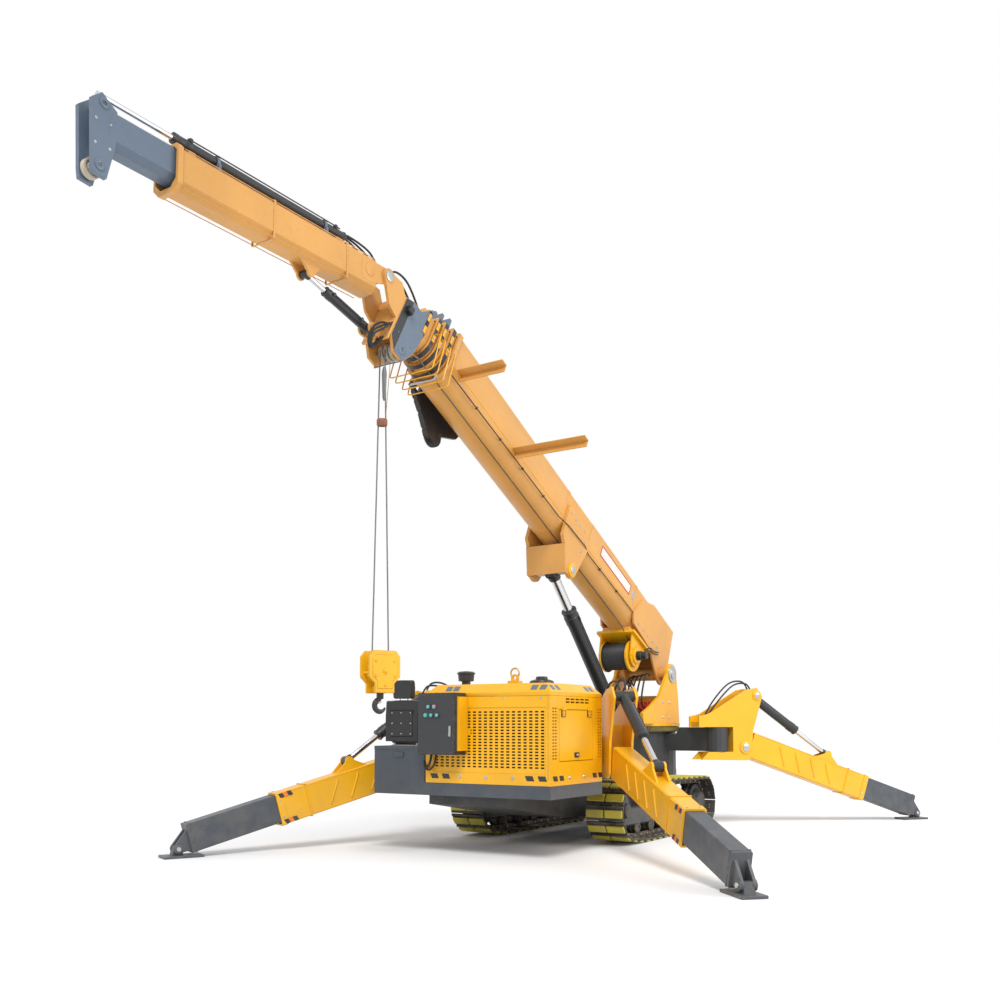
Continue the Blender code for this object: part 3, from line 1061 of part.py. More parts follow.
def drag_chain():
    """The cable carrier that hangs in a loop from the head, on the boom's left side."""
    x = (-BOOM_WIDTH / 2 - 0.11, -BOOM_WIDTH / 2 - 0.05)
    outer = [(4.93, 0.12)] + arc((5.05, 0.00), 0.14, 150.0, 320.0, 8) + [(5.62, 0.22), (5.62, 0.30), (5.50, 0.30)]
    inner = arc((5.06, 0.03), 0.075, 150.0, 320.0, 8) + [(5.54, 0.25), (5.10, 0.16)]
    node("drag_chain", BOOM, "black_paint", [outline(side(outer), "x", *x, [side(inner)]),
                                             block((x[1] - 0.01, -BOOM_WIDTH / 2 - GAP),
                                                   (-5.60, -5.54), (0.335, 0.295))])


clear_scene()
PARTS = collection("spider_crane")
make_materials()
MACHINE = frame("machine", None, (0, ORIGIN_Y, 0))
chassis()
for side_name, side_sign in (("left", -1), ("right", 1)):
    track("track_" + side_name, side_sign)
    track_frame("track_frame_" + side_name, side_sign)
deck()
hood()
cabinet()
seat()
SLEW = frame("slew_axis", MACHINE, (0, SLEW_Y, 0), 0.0, -SLEW_REST)
turntable()
lift_cylinder()
BOOM = frame("boom_axis", SLEW, (0, PIVOT_BACK, PIVOT_HEIGHT), BOOM_ANGLE)
boom_base()
winch()
LAST = boom_sections()
boom_head(LAST)
jib(LAST)
hook(LAST)
drag_chain()
for row in OUTRIGGERS:
    outrigger(*row)
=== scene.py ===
"""Looks of the tracked spider crane: finishes, fine parts, camera and light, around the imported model.

Each assembly is drawn in its own frame, taken from the joints: X is the hinge line, places are
given as (x, forward, up), and forward runs along the boom, jib, leg or cylinder.
"""
import json
import math

import bmesh
import bpy
from mathutils import Matrix, Vector


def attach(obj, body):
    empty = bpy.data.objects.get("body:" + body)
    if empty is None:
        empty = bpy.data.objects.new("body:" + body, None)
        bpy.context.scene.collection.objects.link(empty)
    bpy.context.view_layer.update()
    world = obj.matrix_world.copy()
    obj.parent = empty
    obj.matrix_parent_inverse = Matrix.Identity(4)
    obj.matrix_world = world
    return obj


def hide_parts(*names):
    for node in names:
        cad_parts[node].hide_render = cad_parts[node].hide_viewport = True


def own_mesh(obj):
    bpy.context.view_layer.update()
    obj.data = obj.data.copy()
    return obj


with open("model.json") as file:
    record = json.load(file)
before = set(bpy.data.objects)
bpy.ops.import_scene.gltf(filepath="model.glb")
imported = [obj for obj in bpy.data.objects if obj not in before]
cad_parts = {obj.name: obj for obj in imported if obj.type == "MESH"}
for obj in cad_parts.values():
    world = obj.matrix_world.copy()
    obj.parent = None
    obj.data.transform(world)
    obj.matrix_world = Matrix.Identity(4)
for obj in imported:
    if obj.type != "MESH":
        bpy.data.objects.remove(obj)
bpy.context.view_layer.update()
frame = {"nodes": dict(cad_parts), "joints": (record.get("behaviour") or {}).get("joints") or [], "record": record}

# Camera, fitted to the photograph's frame of 1000 by 1000
CAMERA_AT = (5.898, -10.225, 1.326)
CAMERA_HEADING = 31.47      # degrees to the left of +Y
CAMERA_PITCH = 3.66
FOCAL_PIXELS = 1046.7
CENTRE_ROW = 657.2
IMAGE = 1000.0

# Machine: x to its right, forward towards the hood, and up
MACHINE_Y = -0.058           # where forward starts
DECK_X = 1.064
DECK_FRONT = 1.344
DECK_REAR = 0.225
DECK_TOP = 0.73
TOOLBOX_RIGHT = -0.412
TOOLBOX_TOP = 1.094
HOOD_FRONT = 1.342
HOOD_LEFT = -0.40
HOOD_TOP = 1.73
HOOD_BEVEL = 0.09
DOOR_MIDDLE = 0.80
GRILLE_X = (-0.30, 1.01)
GRILLE_Z = (0.84, 1.49)
HOLES_X = (-0.297, 1.005)    # the punched field inside the grille
HOLES_Z = (0.888, 1.461)
HOLE_COLUMNS = 20
HOLE_ROWS = 19
BLANK_COLUMNS = (5, 6)       # the grille's unpunched patch
BLANK_ROWS = (11, 12)
CABINET_X = (-0.36, 0.09)
CABINET_Z = (1.02, 1.64)
CABINET_FACE = 1.5423
SEAT_X = -0.76

# Tracks
TRACK_X = 0.891
SHOE_WIDTH = 0.45
SHOE_COUNT = 37
TRACK_RADIUS = 0.335
TRACK_FRONT = 0.156
TRACK_REAR = 3.055
IDLER_LIFT = 0.035
IDLER_RAMP = 0.30
PAD_HEIGHT = 0.025
TEETH = 12

# Boom, along it and above its foot pin line
BOOM_WIDTH = 0.455
BOOM_TOP = 0.706
BOOM_SEAM = 0.334
BOOM_STEP = 0.041
BOOM_END = 5.70
COLLAR_RIM = 0.022
COLLARS = (5.739, 5.848, 5.936, 6.068)
FIN_TOPS = (0.893, 0.857, 0.801, 0.711)
LIFT_LUG = (2.72, -0.17)
WINCH_AT = (0.76, -0.165)
SHEAVE_AT = (6.257, -0.053)
LUFF_PIN = (6.73, 0.446)
ROPE_RADIUS = 0.008

# Jib, along it and above its foot pin line
JIB_HALF = 0.13
JIB_LOW = -0.223
JIB_TOP = 0.112
JIB_CYLINDER_UP = 0.225
JIB_SHEAVE_AT = (3.107, -0.35)

# Outriggers: extended length, and whether it is a front one
LEGS = {
    "front_right": (2.922, True),
    "front_left": (2.953, True),
    "rear_right": (2.828, False),
    "rear_left": (2.828, False),
}
LEG_WIDTH = 0.205
LEG_TOP = 0.232
LEG_LOW = -0.106
LEG_LENGTH = 1.99
FOOT_PIN_AHEAD = 0.12        # beyond the extension's end

# Hook block, hanging from the head's sheave
FALLS_AHEAD = 0.0900
FALLS_END = -3.04
BLOCK_TOP = -2.92
BLOCK_HALF = 0.165
BLOCK_LOW = -0.40
BLOCK_THICK = 0.095
BLOCK_SHEAVE_UP = -0.1983

JOINTS = {joint["name"]: joint for joint in frame["joints"]}
BOTH = (-1, 1)


def joint_frame(hinge, slide):
    """The frame of an assembly that turns about a hinge and points along a slide's axis."""
    across = Vector(JOINTS[hinge]["axis"]).normalized()
    back = -Vector(JOINTS[slide]["axis"]).normalized()
    up = across.cross(back)
    if up.z < 0:
        across, up = -across, -up
    turn = Matrix((across, back, up)).transposed().to_4x4()
    return Matrix.Translation(JOINTS[hinge]["pos_m"]) @ turn


def level_frame(origin, forward):
    """An upright frame whose forward direction is a vector's level part."""
    back = -Vector((forward[0], forward[1], 0.0)).normalized()
    across = back.cross(Vector((0, 0, 1)))
    turn = Matrix((across, back, Vector((0, 0, 1)))).transposed().to_4x4()
    return Matrix.Translation(origin) @ turn


MACHINE = Matrix.Translation((0, MACHINE_Y, 0))
BOOM = joint_frame("boom_lift", "boom_telescope")
JIB = joint_frame("jib_luff", "jib_telescope")
LIFT = joint_frame("lift_barrel_turn", "lift_rod_slide")
LUFF = joint_frame("luff_barrel_turn", "luff_rod_slide")
SLEW = level_frame(JOINTS["slew"]["pos_m"], JOINTS["boom_telescope"]["axis"])
SWING = level_frame(JOINTS["hook_swing"]["pos_m"], JOINTS["boom_telescope"]["axis"])
BLOCK_TURN = Matrix.Rotation(math.radians(-20.0), 4, "Z")
BLOCK = (SWING @ Matrix.Translation((0, -FALLS_AHEAD, BLOCK_TOP)) @ BLOCK_TURN
         @ Matrix.Rotation(math.radians(90.0), 4, "Z"))


# Outlines and paths

def circle(centre, count, *reaches, phase=0.0):
    """Points round a centre; with several reaches they take turns, as on a toothed wheel."""
    angles = [2 * math.pi * (k + phase) / count for k in range(count)]
    return [(centre[0] + reaches[k % len(reaches)] * math.cos(angle),
             centre[1] + reaches[k % len(reaches)] * math.sin(angle)) for k, angle in enumerate(angles)]


def arc(centre, radius, start, end, steps):
    angles = [math.radians(start + (end - start) * k / steps) for k in range(steps + 1)]
    return [(centre[0] + radius * math.cos(angle), centre[1] + radius * math.sin(angle)) for angle in angles]


def smooth_path(points, steps=6):
    """Points along a Catmull-Rom curve through the given ones."""
    ends = [points[0], *points, points[-1]]
    result = []
    for corners in zip(ends, ends[1:], ends[2:], ends[3:]):
        for t in (k / steps for k in range(steps)):
            result.append(tuple(
                0.5 * (2 * q + (r - p) * t + (2 * p - 5 * q + 4 * r - s) * t * t
                       + (3 * q - p - 3 * r + s) * t ** 3)
                for p, q, r, s in zip(*corners)))
    return result + [tuple(points[-1])]


def settle(mesh, name, body, material, stands_for=(), sharp=35.0):
    """Puts a finished mesh in the scene as a piece that rides on a body."""
    mesh.materials.clear()
    mesh.materials.append(MATERIALS[material])
    mesh.shade_smooth()
    mesh.set_sharp_from_angle(angle=math.radians(sharp))
    piece = bpy.data.objects.new(name, mesh)
    bpy.context.scene.collection.objects.link(piece)
    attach(piece, body)
    if stands_for:
        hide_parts(*stands_for)
    return piece


class Shape:
    """Collects the solids of one piece in its assembly's frame, as (x, forward, up)."""

    def __init__(self, place):
        self.mesh = bmesh.new()
        self.place = place

    def vert(self, x, forward, up):
        return self.mesh.verts.new((x, -forward, up))

    def join(self, rings, closed=False):
        """Faces from ring to ring, with flat ends or back to the first ring."""
        for first, second in zip(rings, rings[1:] + rings[:1] if closed else rings[1:]):
            for k in range(len(first)):
                after = (k + 1) % len(first)
                self.mesh.faces.new((first[k], first[after], second[after], second[k]))
        for ring in () if closed else (rings[0], rings[-1]):
            self.mesh.faces.new(ring)
        return self

    def block(self, matrix, size, bevel=0.0, segments=1, clamp=False):
        """A box of a size in the place that a matrix gives, in the assembly's own axes."""
        verts = bmesh.ops.create_cube(self.mesh, size=1.0)["verts"]
        bmesh.ops.transform(self.mesh, matrix=Matrix.Diagonal((*size, 1.0)), verts=verts)
        if bevel:
            edges = list({edge for vert in verts for edge in vert.link_edges})
            out = bmesh.ops.bevel(self.mesh, geom=edges, offset=bevel, segments=segments, affect="EDGES",
                                  clamp_overlap=clamp)
            verts = list({vert for face in out["faces"] for vert in face.verts}
                         | {vert for vert in verts if vert.is_valid})
        bmesh.ops.transform(self.mesh, matrix=matrix, verts=verts)
        return self

    def box(self, x, forward, up, bevel=0.0):
        spans = (x, forward, up)
        middle = Vector([(low + high) / 2 for low, high in spans]) * Vector((1, -1, 1))
        size = [abs(high - low) for low, high in spans]
        return self.block(Matrix.Translation(middle), size, bevel, 2, True)

    def rod(self, start, end, radius, sides=16):
        a, b = (Vector((x, -forward, up)) for x, forward, up in (start, end))
        verts = bmesh.ops.create_cone(self.mesh, cap_ends=True, segments=sides, radius1=radius,
                                      radius2=radius, depth=(b - a).length)["verts"]
        turn = (b - a).to_track_quat("Z", "Y").to_matrix().to_4x4()
        bmesh.ops.transform(self.mesh, matrix=Matrix.Translation((a + b) / 2) @ turn, verts=verts)
        return self

    def plate(self, points, axis, low, high):
        """A flat outline: (forward, up) across x, (x, up) along forward, or (x, forward) for up."""
        order = {"x": (2, 0, 1), "f": (0, 2, 1), "z": (0, 1, 2)}[axis]
        ends = [[[(u, v, w)[k] for k in order] for u, v in points] for w in (low, high)]
        return self.join([[self.vert(*spot) for spot in end] for end in ends])

    def pair(self, points, inner, outer):
        """The same plate on either side."""
        return self.plate(points, "x", inner, outer).plate(points, "x", -outer, -inner)

    def frame_band(self, half, forward, up, proud):
        """Four flat bars round a box section, standing proud of it."""
        low, high = up
        inside = 0.0005
        for bar in ((high + inside, high + proud), (low - proud, low - inside)):
            self.box((-half - proud, half + proud), forward, bar)
        for bar in ((half + inside, half + proud), (-half - proud, -half - inside)):
            self.box(bar, forward, (low - proud, high + proud))
        return self

    def tube(self, points, radius, sides=8):
        """A round bar or hose that runs through its points."""
        path = [Vector((x, -forward, up)) for x, forward, up in points]
        rings = []
        normal = None
        for index, here in enumerate(path):
            ahead = (path[min(index + 1, len(path) - 1)] - path[max(index - 1, 0)]).normalized()
            if normal is None:
                normal = ahead.orthogonal()
            normal = (normal - ahead * normal.dot(ahead)).normalized()
            other = ahead.cross(normal)
            rings.append([self.mesh.verts.new(here + normal * a + other * b)
                          for a, b in circle((0, 0), sides, radius)])
        return self.join(rings)

    def hose(self, points, radius, sides=8, steps=6):
        return self.tube(smooth_path(points, steps), radius, sides)

    def lathe(self, profile, at, axis="x", sides=32, ring=False):
        """Turned from (along, radius) points about a line through at, solid or as a closed ring."""
        order = {"x": (0, 1, 2), "f": (1, 0, 2), "z": (1, 2, 0)}[axis]
        rings = []
        for along, radius in profile:
            spots = [[(along, a, b)[k] for k in order] for a, b in circle((0, 0), sides, radius)]
            rings.append([self.vert(*(value + step for value, step in zip(at, spot))) for spot in spots])
        return self.join(rings, closed=ring)

    def spool(self, half, at, sides, ring=False):
        """Turned about a line across x from (x, radius) points that are mirrored on the other side."""
        mirrored = [(across, radius) for across, radius in reversed(half) if across]
        return self.lathe([(-across, radius) for across, radius in half] + mirrored, at, "x", sides, ring)

    def bosses(self, profile, at, sides, on=BOTH):
        """A solid turned from (x, radius) points on each side of the middle."""
        for side in on:
            self.lathe([(side * across, radius) for across, radius in profile], (0, *at), "x", sides)
        return self

    def heads(self, spots, axis, radius, sign=1):
        """Bolt heads on their washers, standing on faces at the spots."""
        high = 0.75 * radius * sign
        for at in spots:
            self.lathe([(-0.0005 * sign, radius * 1.45), (0.12 * high, radius * 1.45)], at, axis, 16)
            self.lathe([(0.1 * high, radius), (0.85 * high, radius), (high, radius * 0.85)], at, axis, 6)
        return self

    def side_heads(self, x, spots, radius, on=BOTH):
        """Bolt heads at (forward, up) spots on each side."""
        for side in on:
            self.heads([(side * x, *spot) for spot in spots], "x", radius, side)
        return self

    def data(self, name):
        """The solids as mesh data in the machine's own place."""
        bmesh.ops.recalc_face_normals(self.mesh, faces=self.mesh.faces)
        mesh = bpy.data.meshes.new(name)
        self.mesh.to_mesh(mesh)
        self.mesh.free()
        mesh.transform(self.place)
        return mesh

    def done(self, name, body, material, stands_for=(), sharp=35.0):
        return settle(self.data(name), name, body, material, stands_for, sharp)


# Finishes

def linked(tree, kind, inputs=(), **settings):
    """A node with its settings and inputs, each a value or another node's output."""
    made = tree.nodes.new("ShaderNode" + kind)
    for key, value in settings.items():
        setattr(made, key, value)
    for key, value in dict(inputs).items():
        if isinstance(value, bpy.types.NodeSocket):
            tree.links.new(value, made.inputs[key])
        else:
            made.inputs[key].default_value = value
    return made


def noise(tree, place, scale, detail=4.0, rough=0.6):
    inputs = {"Vector": place, "Scale": scale, "Detail": detail, "Roughness": rough}
    return linked(tree, "TexNoise", inputs).outputs["Fac"]


def ramp(tree, value, low, high):
    """Stretches a value so that low becomes 0 and high becomes 1."""
    return linked(tree, "MapRange", {"Value": value, "From Min": low, "From Max": high}).outputs["Result"]


def times(tree, a, b):
    return linked(tree, "Math", {0: a, 1: b}, operation="MULTIPLY").outputs[0]


def shade(color, factor):
    return (*(min(1.0, channel * factor) for channel in color), 1.0)


def mix_colors(tree, share, a, b):
    made = tree.nodes.new("ShaderNodeMix")
    made.data_type = "RGBA"
    for socket, value in ((made.inputs[0], share), (made.inputs[6], a), (made.inputs[7], b)):
        if isinstance(value, bpy.types.NodeSocket):
            tree.links.new(value, socket)
        else:
            socket.default_value = value
    return made.outputs[2]


def finish(name, color, rough, metal=0.0, vary=0.10, worn=None, wear=0.5, dust=0.3, peel=(220.0, 0.02),
           coat=0.0, edge=0.004):
    """A worn, slightly dirty surface: cloudy colour, scuffed edges, road dust low down, fine grain."""
    material = bpy.data.materials.new(name)
    material.use_nodes = True
    tree = material.node_tree
    shader = tree.nodes["Principled BSDF"]
    shader.inputs["Metallic"].default_value = metal
    shader.inputs["Coat Weight"].default_value = coat
    shader.inputs["Coat Roughness"].default_value = 0.12
    place = tree.nodes.new("ShaderNodeTexCoord").outputs["Object"]
    cloud = noise(tree, place, 1.7, 5.0)
    specks = noise(tree, place, 23.0, 8.0, 0.7)
    cloudy = ramp(tree, cloud, 0.3, 0.7)
    surface = mix_colors(tree, cloudy, shade(color, 1 - vary), shade(color, 1 + 0.5 * vary))
    grime = times(tree, ramp(tree, specks, 0.56, 0.72), 0.22)
    surface = mix_colors(tree, grime, surface, shade(color, 0.45))
    soft = linked(tree, "Bevel", {"Radius": edge}, samples=4).outputs["Normal"]
    if worn:
        flat = tree.nodes.new("ShaderNodeNewGeometry").outputs["Normal"]
        along = linked(tree, "VectorMath", {0: soft, 1: flat}, operation="DOT_PRODUCT").outputs["Value"]
        rim = ramp(tree, along, 0.985, 0.90)
        scuffs = ramp(tree, noise(tree, place, 31.0, 6.0), 0.48, 0.60)
        surface = mix_colors(tree, times(tree, times(tree, rim, scuffs), wear), surface, (*worn, 1.0))
    height = linked(tree, "SeparateXYZ", {0: place}).outputs["Z"]
    low = ramp(tree, height, 0.95, 0.05)
    dirt = times(tree, times(tree, low, ramp(tree, noise(tree, place, 6.0, 6.0), 0.35, 0.75)), dust)
    surface = mix_colors(tree, dirt, surface, (0.30, 0.25, 0.18, 1.0))
    tree.links.new(surface, shader.inputs["Base Color"])
    streak = ramp(tree, noise(tree, place, 9.0, 6.0), 0.2, 0.8)
    gloss = linked(tree, "MapRange",
                   {"Value": streak, "To Min": max(0.03, rough - 0.07), "To Max": rough + 0.10})
    tree.links.new(gloss.outputs["Result"], shader.inputs["Roughness"])
    fine = noise(tree, place, peel[0], 3.0)
    grain = linked(tree, "Bump",
                   {"Strength": peel[1] * 10, "Distance": 0.001, "Height": fine, "Normal": soft})
    tree.links.new(grain.outputs["Normal"], shader.inputs["Normal"])
    return material


STEEL = (0.42, 0.41, 0.39)
PRIMER = (0.10, 0.09, 0.08)

# material name: record's slot, then its finish
FINISHES = {
    "amber": ("amber_paint", dict(color=(0.83, 0.415, 0.003), rough=0.36, worn=PRIMER, wear=0.45, coat=0.12)),
    # A paler, greyer copy of the amber paint: its paleness is painted sheen, the washed-out look of the boom's and
    # jib's lit sides.
    "amber_sheen_painted": ("amber_paint", dict(color=(0.66, 0.325, 0.075), rough=0.42, worn=PRIMER, wear=0.5,
                                       coat=0.08)),
    "orange": ("amber_paint", dict(color=(0.80, 0.20, 0.01), rough=0.35)),
    "worn_yellow": ("amber_paint", dict(color=(0.50, 0.43, 0.03), rough=0.62, worn=PRIMER, wear=0.9,
                                        dust=0.55, vary=0.4, peel=(60.0, 0.06))),
    "grey": ("grey_paint", dict(color=(0.055, 0.065, 0.080), rough=0.42, worn=STEEL, wear=0.35)),
    "soot": ("grey_paint", dict(color=(0.033, 0.035, 0.038), rough=0.45, worn=STEEL, wear=0.35)),
    "blue_grey": ("blue_grey_paint", dict(color=(0.115, 0.155, 0.21), rough=0.38, worn=STEEL, wear=0.4)),
    "black": ("black_paint", dict(color=(0.022, 0.023, 0.026), rough=0.34, worn=STEEL, wear=0.3)),
    "rubber": ("black_paint", dict(color=(0.017, 0.017, 0.018), rough=0.55, peel=(420.0, 0.05))),
    "red": ("amber_paint", dict(color=(0.50, 0.018, 0.012), rough=0.4)),
    "white": ("nylon", dict(color=(0.72, 0.70, 0.66), rough=0.45, dust=0.1)),
    "pale_blue": ("nylon", dict(color=(0.12, 0.42, 0.52), rough=0.35)),
    "green": ("nylon", dict(color=(0.02, 0.25, 0.08), rough=0.35)),
    "brown": ("amber_paint", dict(color=(0.24, 0.09, 0.04), rough=0.5)),
    "gold": ("olive_steel", dict(color=(0.62, 0.43, 0.14), rough=0.32, metal=0.9)),
    "chrome": ("chrome", dict(color=(0.66, 0.67, 0.69), rough=0.14, metal=1.0, vary=0.03, dust=0.05,
                              peel=(90.0, 0.004))),
    "zinc": ("chrome", dict(color=(0.52, 0.53, 0.52), rough=0.33, metal=0.95, vary=0.15)),
    "track": ("track_steel", dict(color=(0.034, 0.033, 0.034), rough=0.62, metal=0.3, worn=STEEL, wear=0.5,
                                  dust=0.55, peel=(70.0, 0.07))),
    "chain_pin": ("track_steel", dict(color=(0.36, 0.27, 0.18), rough=0.5, metal=0.5, dust=0.4)),
    "olive": ("olive_steel", dict(color=(0.20, 0.17, 0.05), rough=0.55, metal=0.3)),
    "rope": ("rope_steel", dict(color=(0.20, 0.20, 0.19), rough=0.42, metal=0.8, dust=0.1)),
    "greased_rope": ("rope_steel", dict(color=(0.055, 0.055, 0.058), rough=0.42, metal=0.4, dust=0.1)),
    "nylon": ("nylon", dict(color=(0.48, 0.42, 0.33), rough=0.5)),
    "vinyl": ("vinyl", dict(color=(0.018, 0.018, 0.020), rough=0.46, vary=0.3, peel=(340.0, 0.10),
                            dust=0.08)),
    "vinyl_edge": ("vinyl", dict(color=(0.16, 0.165, 0.17), rough=0.5, peel=(340.0, 0.06), dust=0.08)),
    "blue": ("blue_paint", dict(color=(0.03, 0.10, 0.28), rough=0.38, worn=STEEL, wear=0.4)),
}
FINISHES["amber_sheet"] = ("amber_paint", dict(FINISHES["amber"][1], worn=None, edge=0.0008))
MATERIALS = {name: finish(name, **row[1]) for name, row in FINISHES.items()}
SLOT_FINISH = {
    "amber_paint": "amber", "grey_paint": "grey", "blue_grey_paint": "blue_grey", "black_paint": "black",
    "chrome": "chrome", "track_steel": "track", "olive_steel": "olive", "rope_steel": "rope", "nylon": "nylon",
    "vinyl": "vinyl", "blue_paint": "blue",
}
# The boom's and jib's nodes, which take the paler amber copy with its painted sheen.
SHEEN_PAINTED_NODES = ("jib_base", "jib_knuckle", "boom_base", "boom_section_2", "boom_section_3", "boom_section_4",
              "boom_section_5")
SOOT_NODES = ("carbody", "track_frame_left", "track_frame_right")


def paint_frame():
    """Every carried-over node takes the finish of its slot."""
    for part in frame["record"]["subparts"]:
        name = SLOT_FINISH[part["material_slot"]]
        if part["node"] in SHEEN_PAINTED_NODES:
            name = "amber_sheen_painted"
        if part["node"] in SOOT_NODES:
            name = "soot"
        item = frame["nodes"][part["node"]]
        item.data.materials.clear()
        item.data.materials.append(MATERIALS[name])


def camera():
    heading = math.radians(CAMERA_HEADING)
    pitch = math.radians(CAMERA_PITCH)
    data = bpy.data.cameras.new("camera")
    data.sensor_width = 36.0
    data.lens = FOCAL_PIXELS * data.sensor_width / IMAGE
    data.shift_y = (CENTRE_ROW - IMAGE / 2) / IMAGE
    data.clip_end = 200.0
    item = bpy.data.objects.new("camera", data)
    item.location = CAMERA_AT
    item.rotation_euler = (math.radians(90.0) + pitch, 0.0, heading)
    bpy.context.scene.collection.objects.link(item)
    bpy.context.scene.camera = item


def lights():
    """A white sky, a broad key lamp high on the camera's side and a weak sun for form."""
    world = bpy.data.worlds.new("sky")
    bpy.context.scene.world = world
    world.use_nodes = True
    tree = world.node_tree
    back = tree.nodes["Background"]
    back.inputs["Color"].default_value = (0.95, 0.97, 1.0, 1.0)
    back.inputs["Strength"].default_value = 0.72
    plain = tree.nodes.new("ShaderNodeBackground")
    plain.inputs["Color"].default_value = (1.0, 1.0, 1.0, 1.0)
    plain.inputs["Strength"].default_value = 1.0
    path = tree.nodes.new("ShaderNodeLightPath")
    seen = tree.nodes.new("ShaderNodeMath")
    seen.operation = "MAXIMUM"
    tree.links.new(path.outputs["Is Camera Ray"], seen.inputs[0])
    tree.links.new(path.outputs["Is Glossy Ray"], seen.inputs[1])
    mix = tree.nodes.new("ShaderNodeMixShader")
    tree.links.new(seen.outputs[0], mix.inputs[0])
    tree.links.new(back.outputs[0], mix.inputs[1])
    tree.links.new(plain.outputs[0], mix.inputs[2])
    tree.links.new(mix.outputs[0], tree.nodes["World Output"].inputs["Surface"])
    for name, kind, energy, at, target, size in (
            ("sun", "SUN", 2.1, (6, -9, 13), (0, 0, 0), 0.35),
            ("side", "AREA", 420.0, (11, 2, 6), (0, 0, 1.5), 6.0)):
        data = bpy.data.lights.new(name, kind)
        data.energy = energy
        if kind == "SUN":
            data.angle = size
        else:
            data.size = size
        lamp = bpy.data.objects.new(name, data)
        lamp.location = at
        lamp.rotation_euler = (Vector(target) - Vector(at)).to_track_quat("-Z", "Y").to_euler()
        bpy.context.scene.collection.objects.link(lamp)


def floor():
    mesh = bpy.data.meshes.new("floor")
    shape = bmesh.new()
    bmesh.ops.create_grid(shape, x_segments=1, y_segments=1, size=60.0)
    shape.to_mesh(mesh)
    shape.free()
    material = bpy.data.materials.new("floor")
    material.use_nodes = True
    tree = material.node_tree
    shader = tree.nodes["Principled BSDF"]
    shader.inputs["Base Color"].default_value = (0.86, 0.86, 0.86, 1.0)
    shader.inputs["Roughness"].default_value = 0.9
    mesh.materials.append(material)
    item = bpy.data.objects.new("floor", mesh)
    item.location.z = -0.001
    bpy.context.scene.collection.objects.link(item)


# Hood, deck and what stands on them

def rounded(node_name, name, material, edge, segments, cutter=None):
    """A piece in a base node's own form, with rounded edges and without a cutter's solids."""
    item = bpy.data.objects.new("form", frame["nodes"][node_name].data.copy())
    bpy.context.scene.collection.objects.link(item)
    rounding = item.modifiers.new("edges", "BEVEL")
    rounding.width = edge
    rounding.segments = segments
    rounding.limit_method = "ANGLE"
    rounding.angle_limit = math.radians(25.0)
    helpers = [item]
    if cutter:
        helpers.append(bpy.data.objects.new("cutter", cutter.data("cutter")))
        bpy.context.scene.collection.objects.link(helpers[1])
        cut = item.modifiers.new("cut", "BOOLEAN")
        cut.operation = "DIFFERENCE"
        cut.object = helpers[1]
        cut.use_self = True
    bpy.context.view_layer.update()
    mesh = bpy.data.meshes.new_from_object(item.evaluated_get(bpy.context.evaluated_depsgraph_get()))
    for helper in helpers:
        bpy.data.objects.remove(helper, do_unlink=True)
    settle(mesh, name, "base", material, (node_name,), 12.0)


def hood():
    """The hood's sheets, with louvres, slots above the door and seams cut in."""
    seam = 0.005
    gap = 0.003
    through = (DECK_X - 0.05, DECK_X + 0.05)
    side = (DECK_X - seam, DECK_X + 0.1)
    face = (HOOD_FRONT - seam, HOOD_FRONT + 0.1)
    all_along = (-DECK_REAR - 0.1, HOOD_FRONT + 0.1)
    high_seam = 1.600
    cuts = Shape(MACHINE)
    for centre in (1.285, 1.235, 0.305, 0.255):
        for row in range(17):
            z = 0.985 + 0.0304 * row
            cuts.box(through, (centre - 0.018, centre + 0.018), (z, z + 0.013))
    for row in range(2):
        for column in range(5):
            f = 0.52 + 0.105 * column
            z = 1.535 + 0.03 * row
            cuts.box(through, (f, f + 0.085), (z, z + 0.016))
    for x in (-0.345, 1.035):
        cuts.box((x, x + gap), face, (DECK_TOP + 0.05, HOOD_TOP - HOOD_BEVEL - 0.03))
    cuts.box((HOOD_LEFT - 0.1, DECK_X + 0.1), face, (high_seam, high_seam + gap))
    cuts.box(side, all_along, (high_seam, high_seam + gap))
    for f in (1.19, 0.36):
        cuts.box(side, (f, f + gap), (DECK_TOP + 0.05, high_seam))
    for x in (0.20, 0.62):
        cuts.box((x, x + gap), all_along, (HOOD_TOP - seam, HOOD_TOP + 0.02))
    rounded("hood_shell", "hood", "amber", 0.006, 2, cuts)


def bars(outer, holes, count, solid):
    """Spans of the bars round a row of holes: its ends, the holes' field, their number, a bar's share."""
    pitch = (holes[1] - holes[0]) / count
    half = pitch * solid / 2
    inner = [(holes[0] + pitch * k - half, holes[0] + pitch * k + half) for k in range(1, count)]
    return [(outer[0], holes[0] + half), *inner, (holes[1] - half, outer[1])]


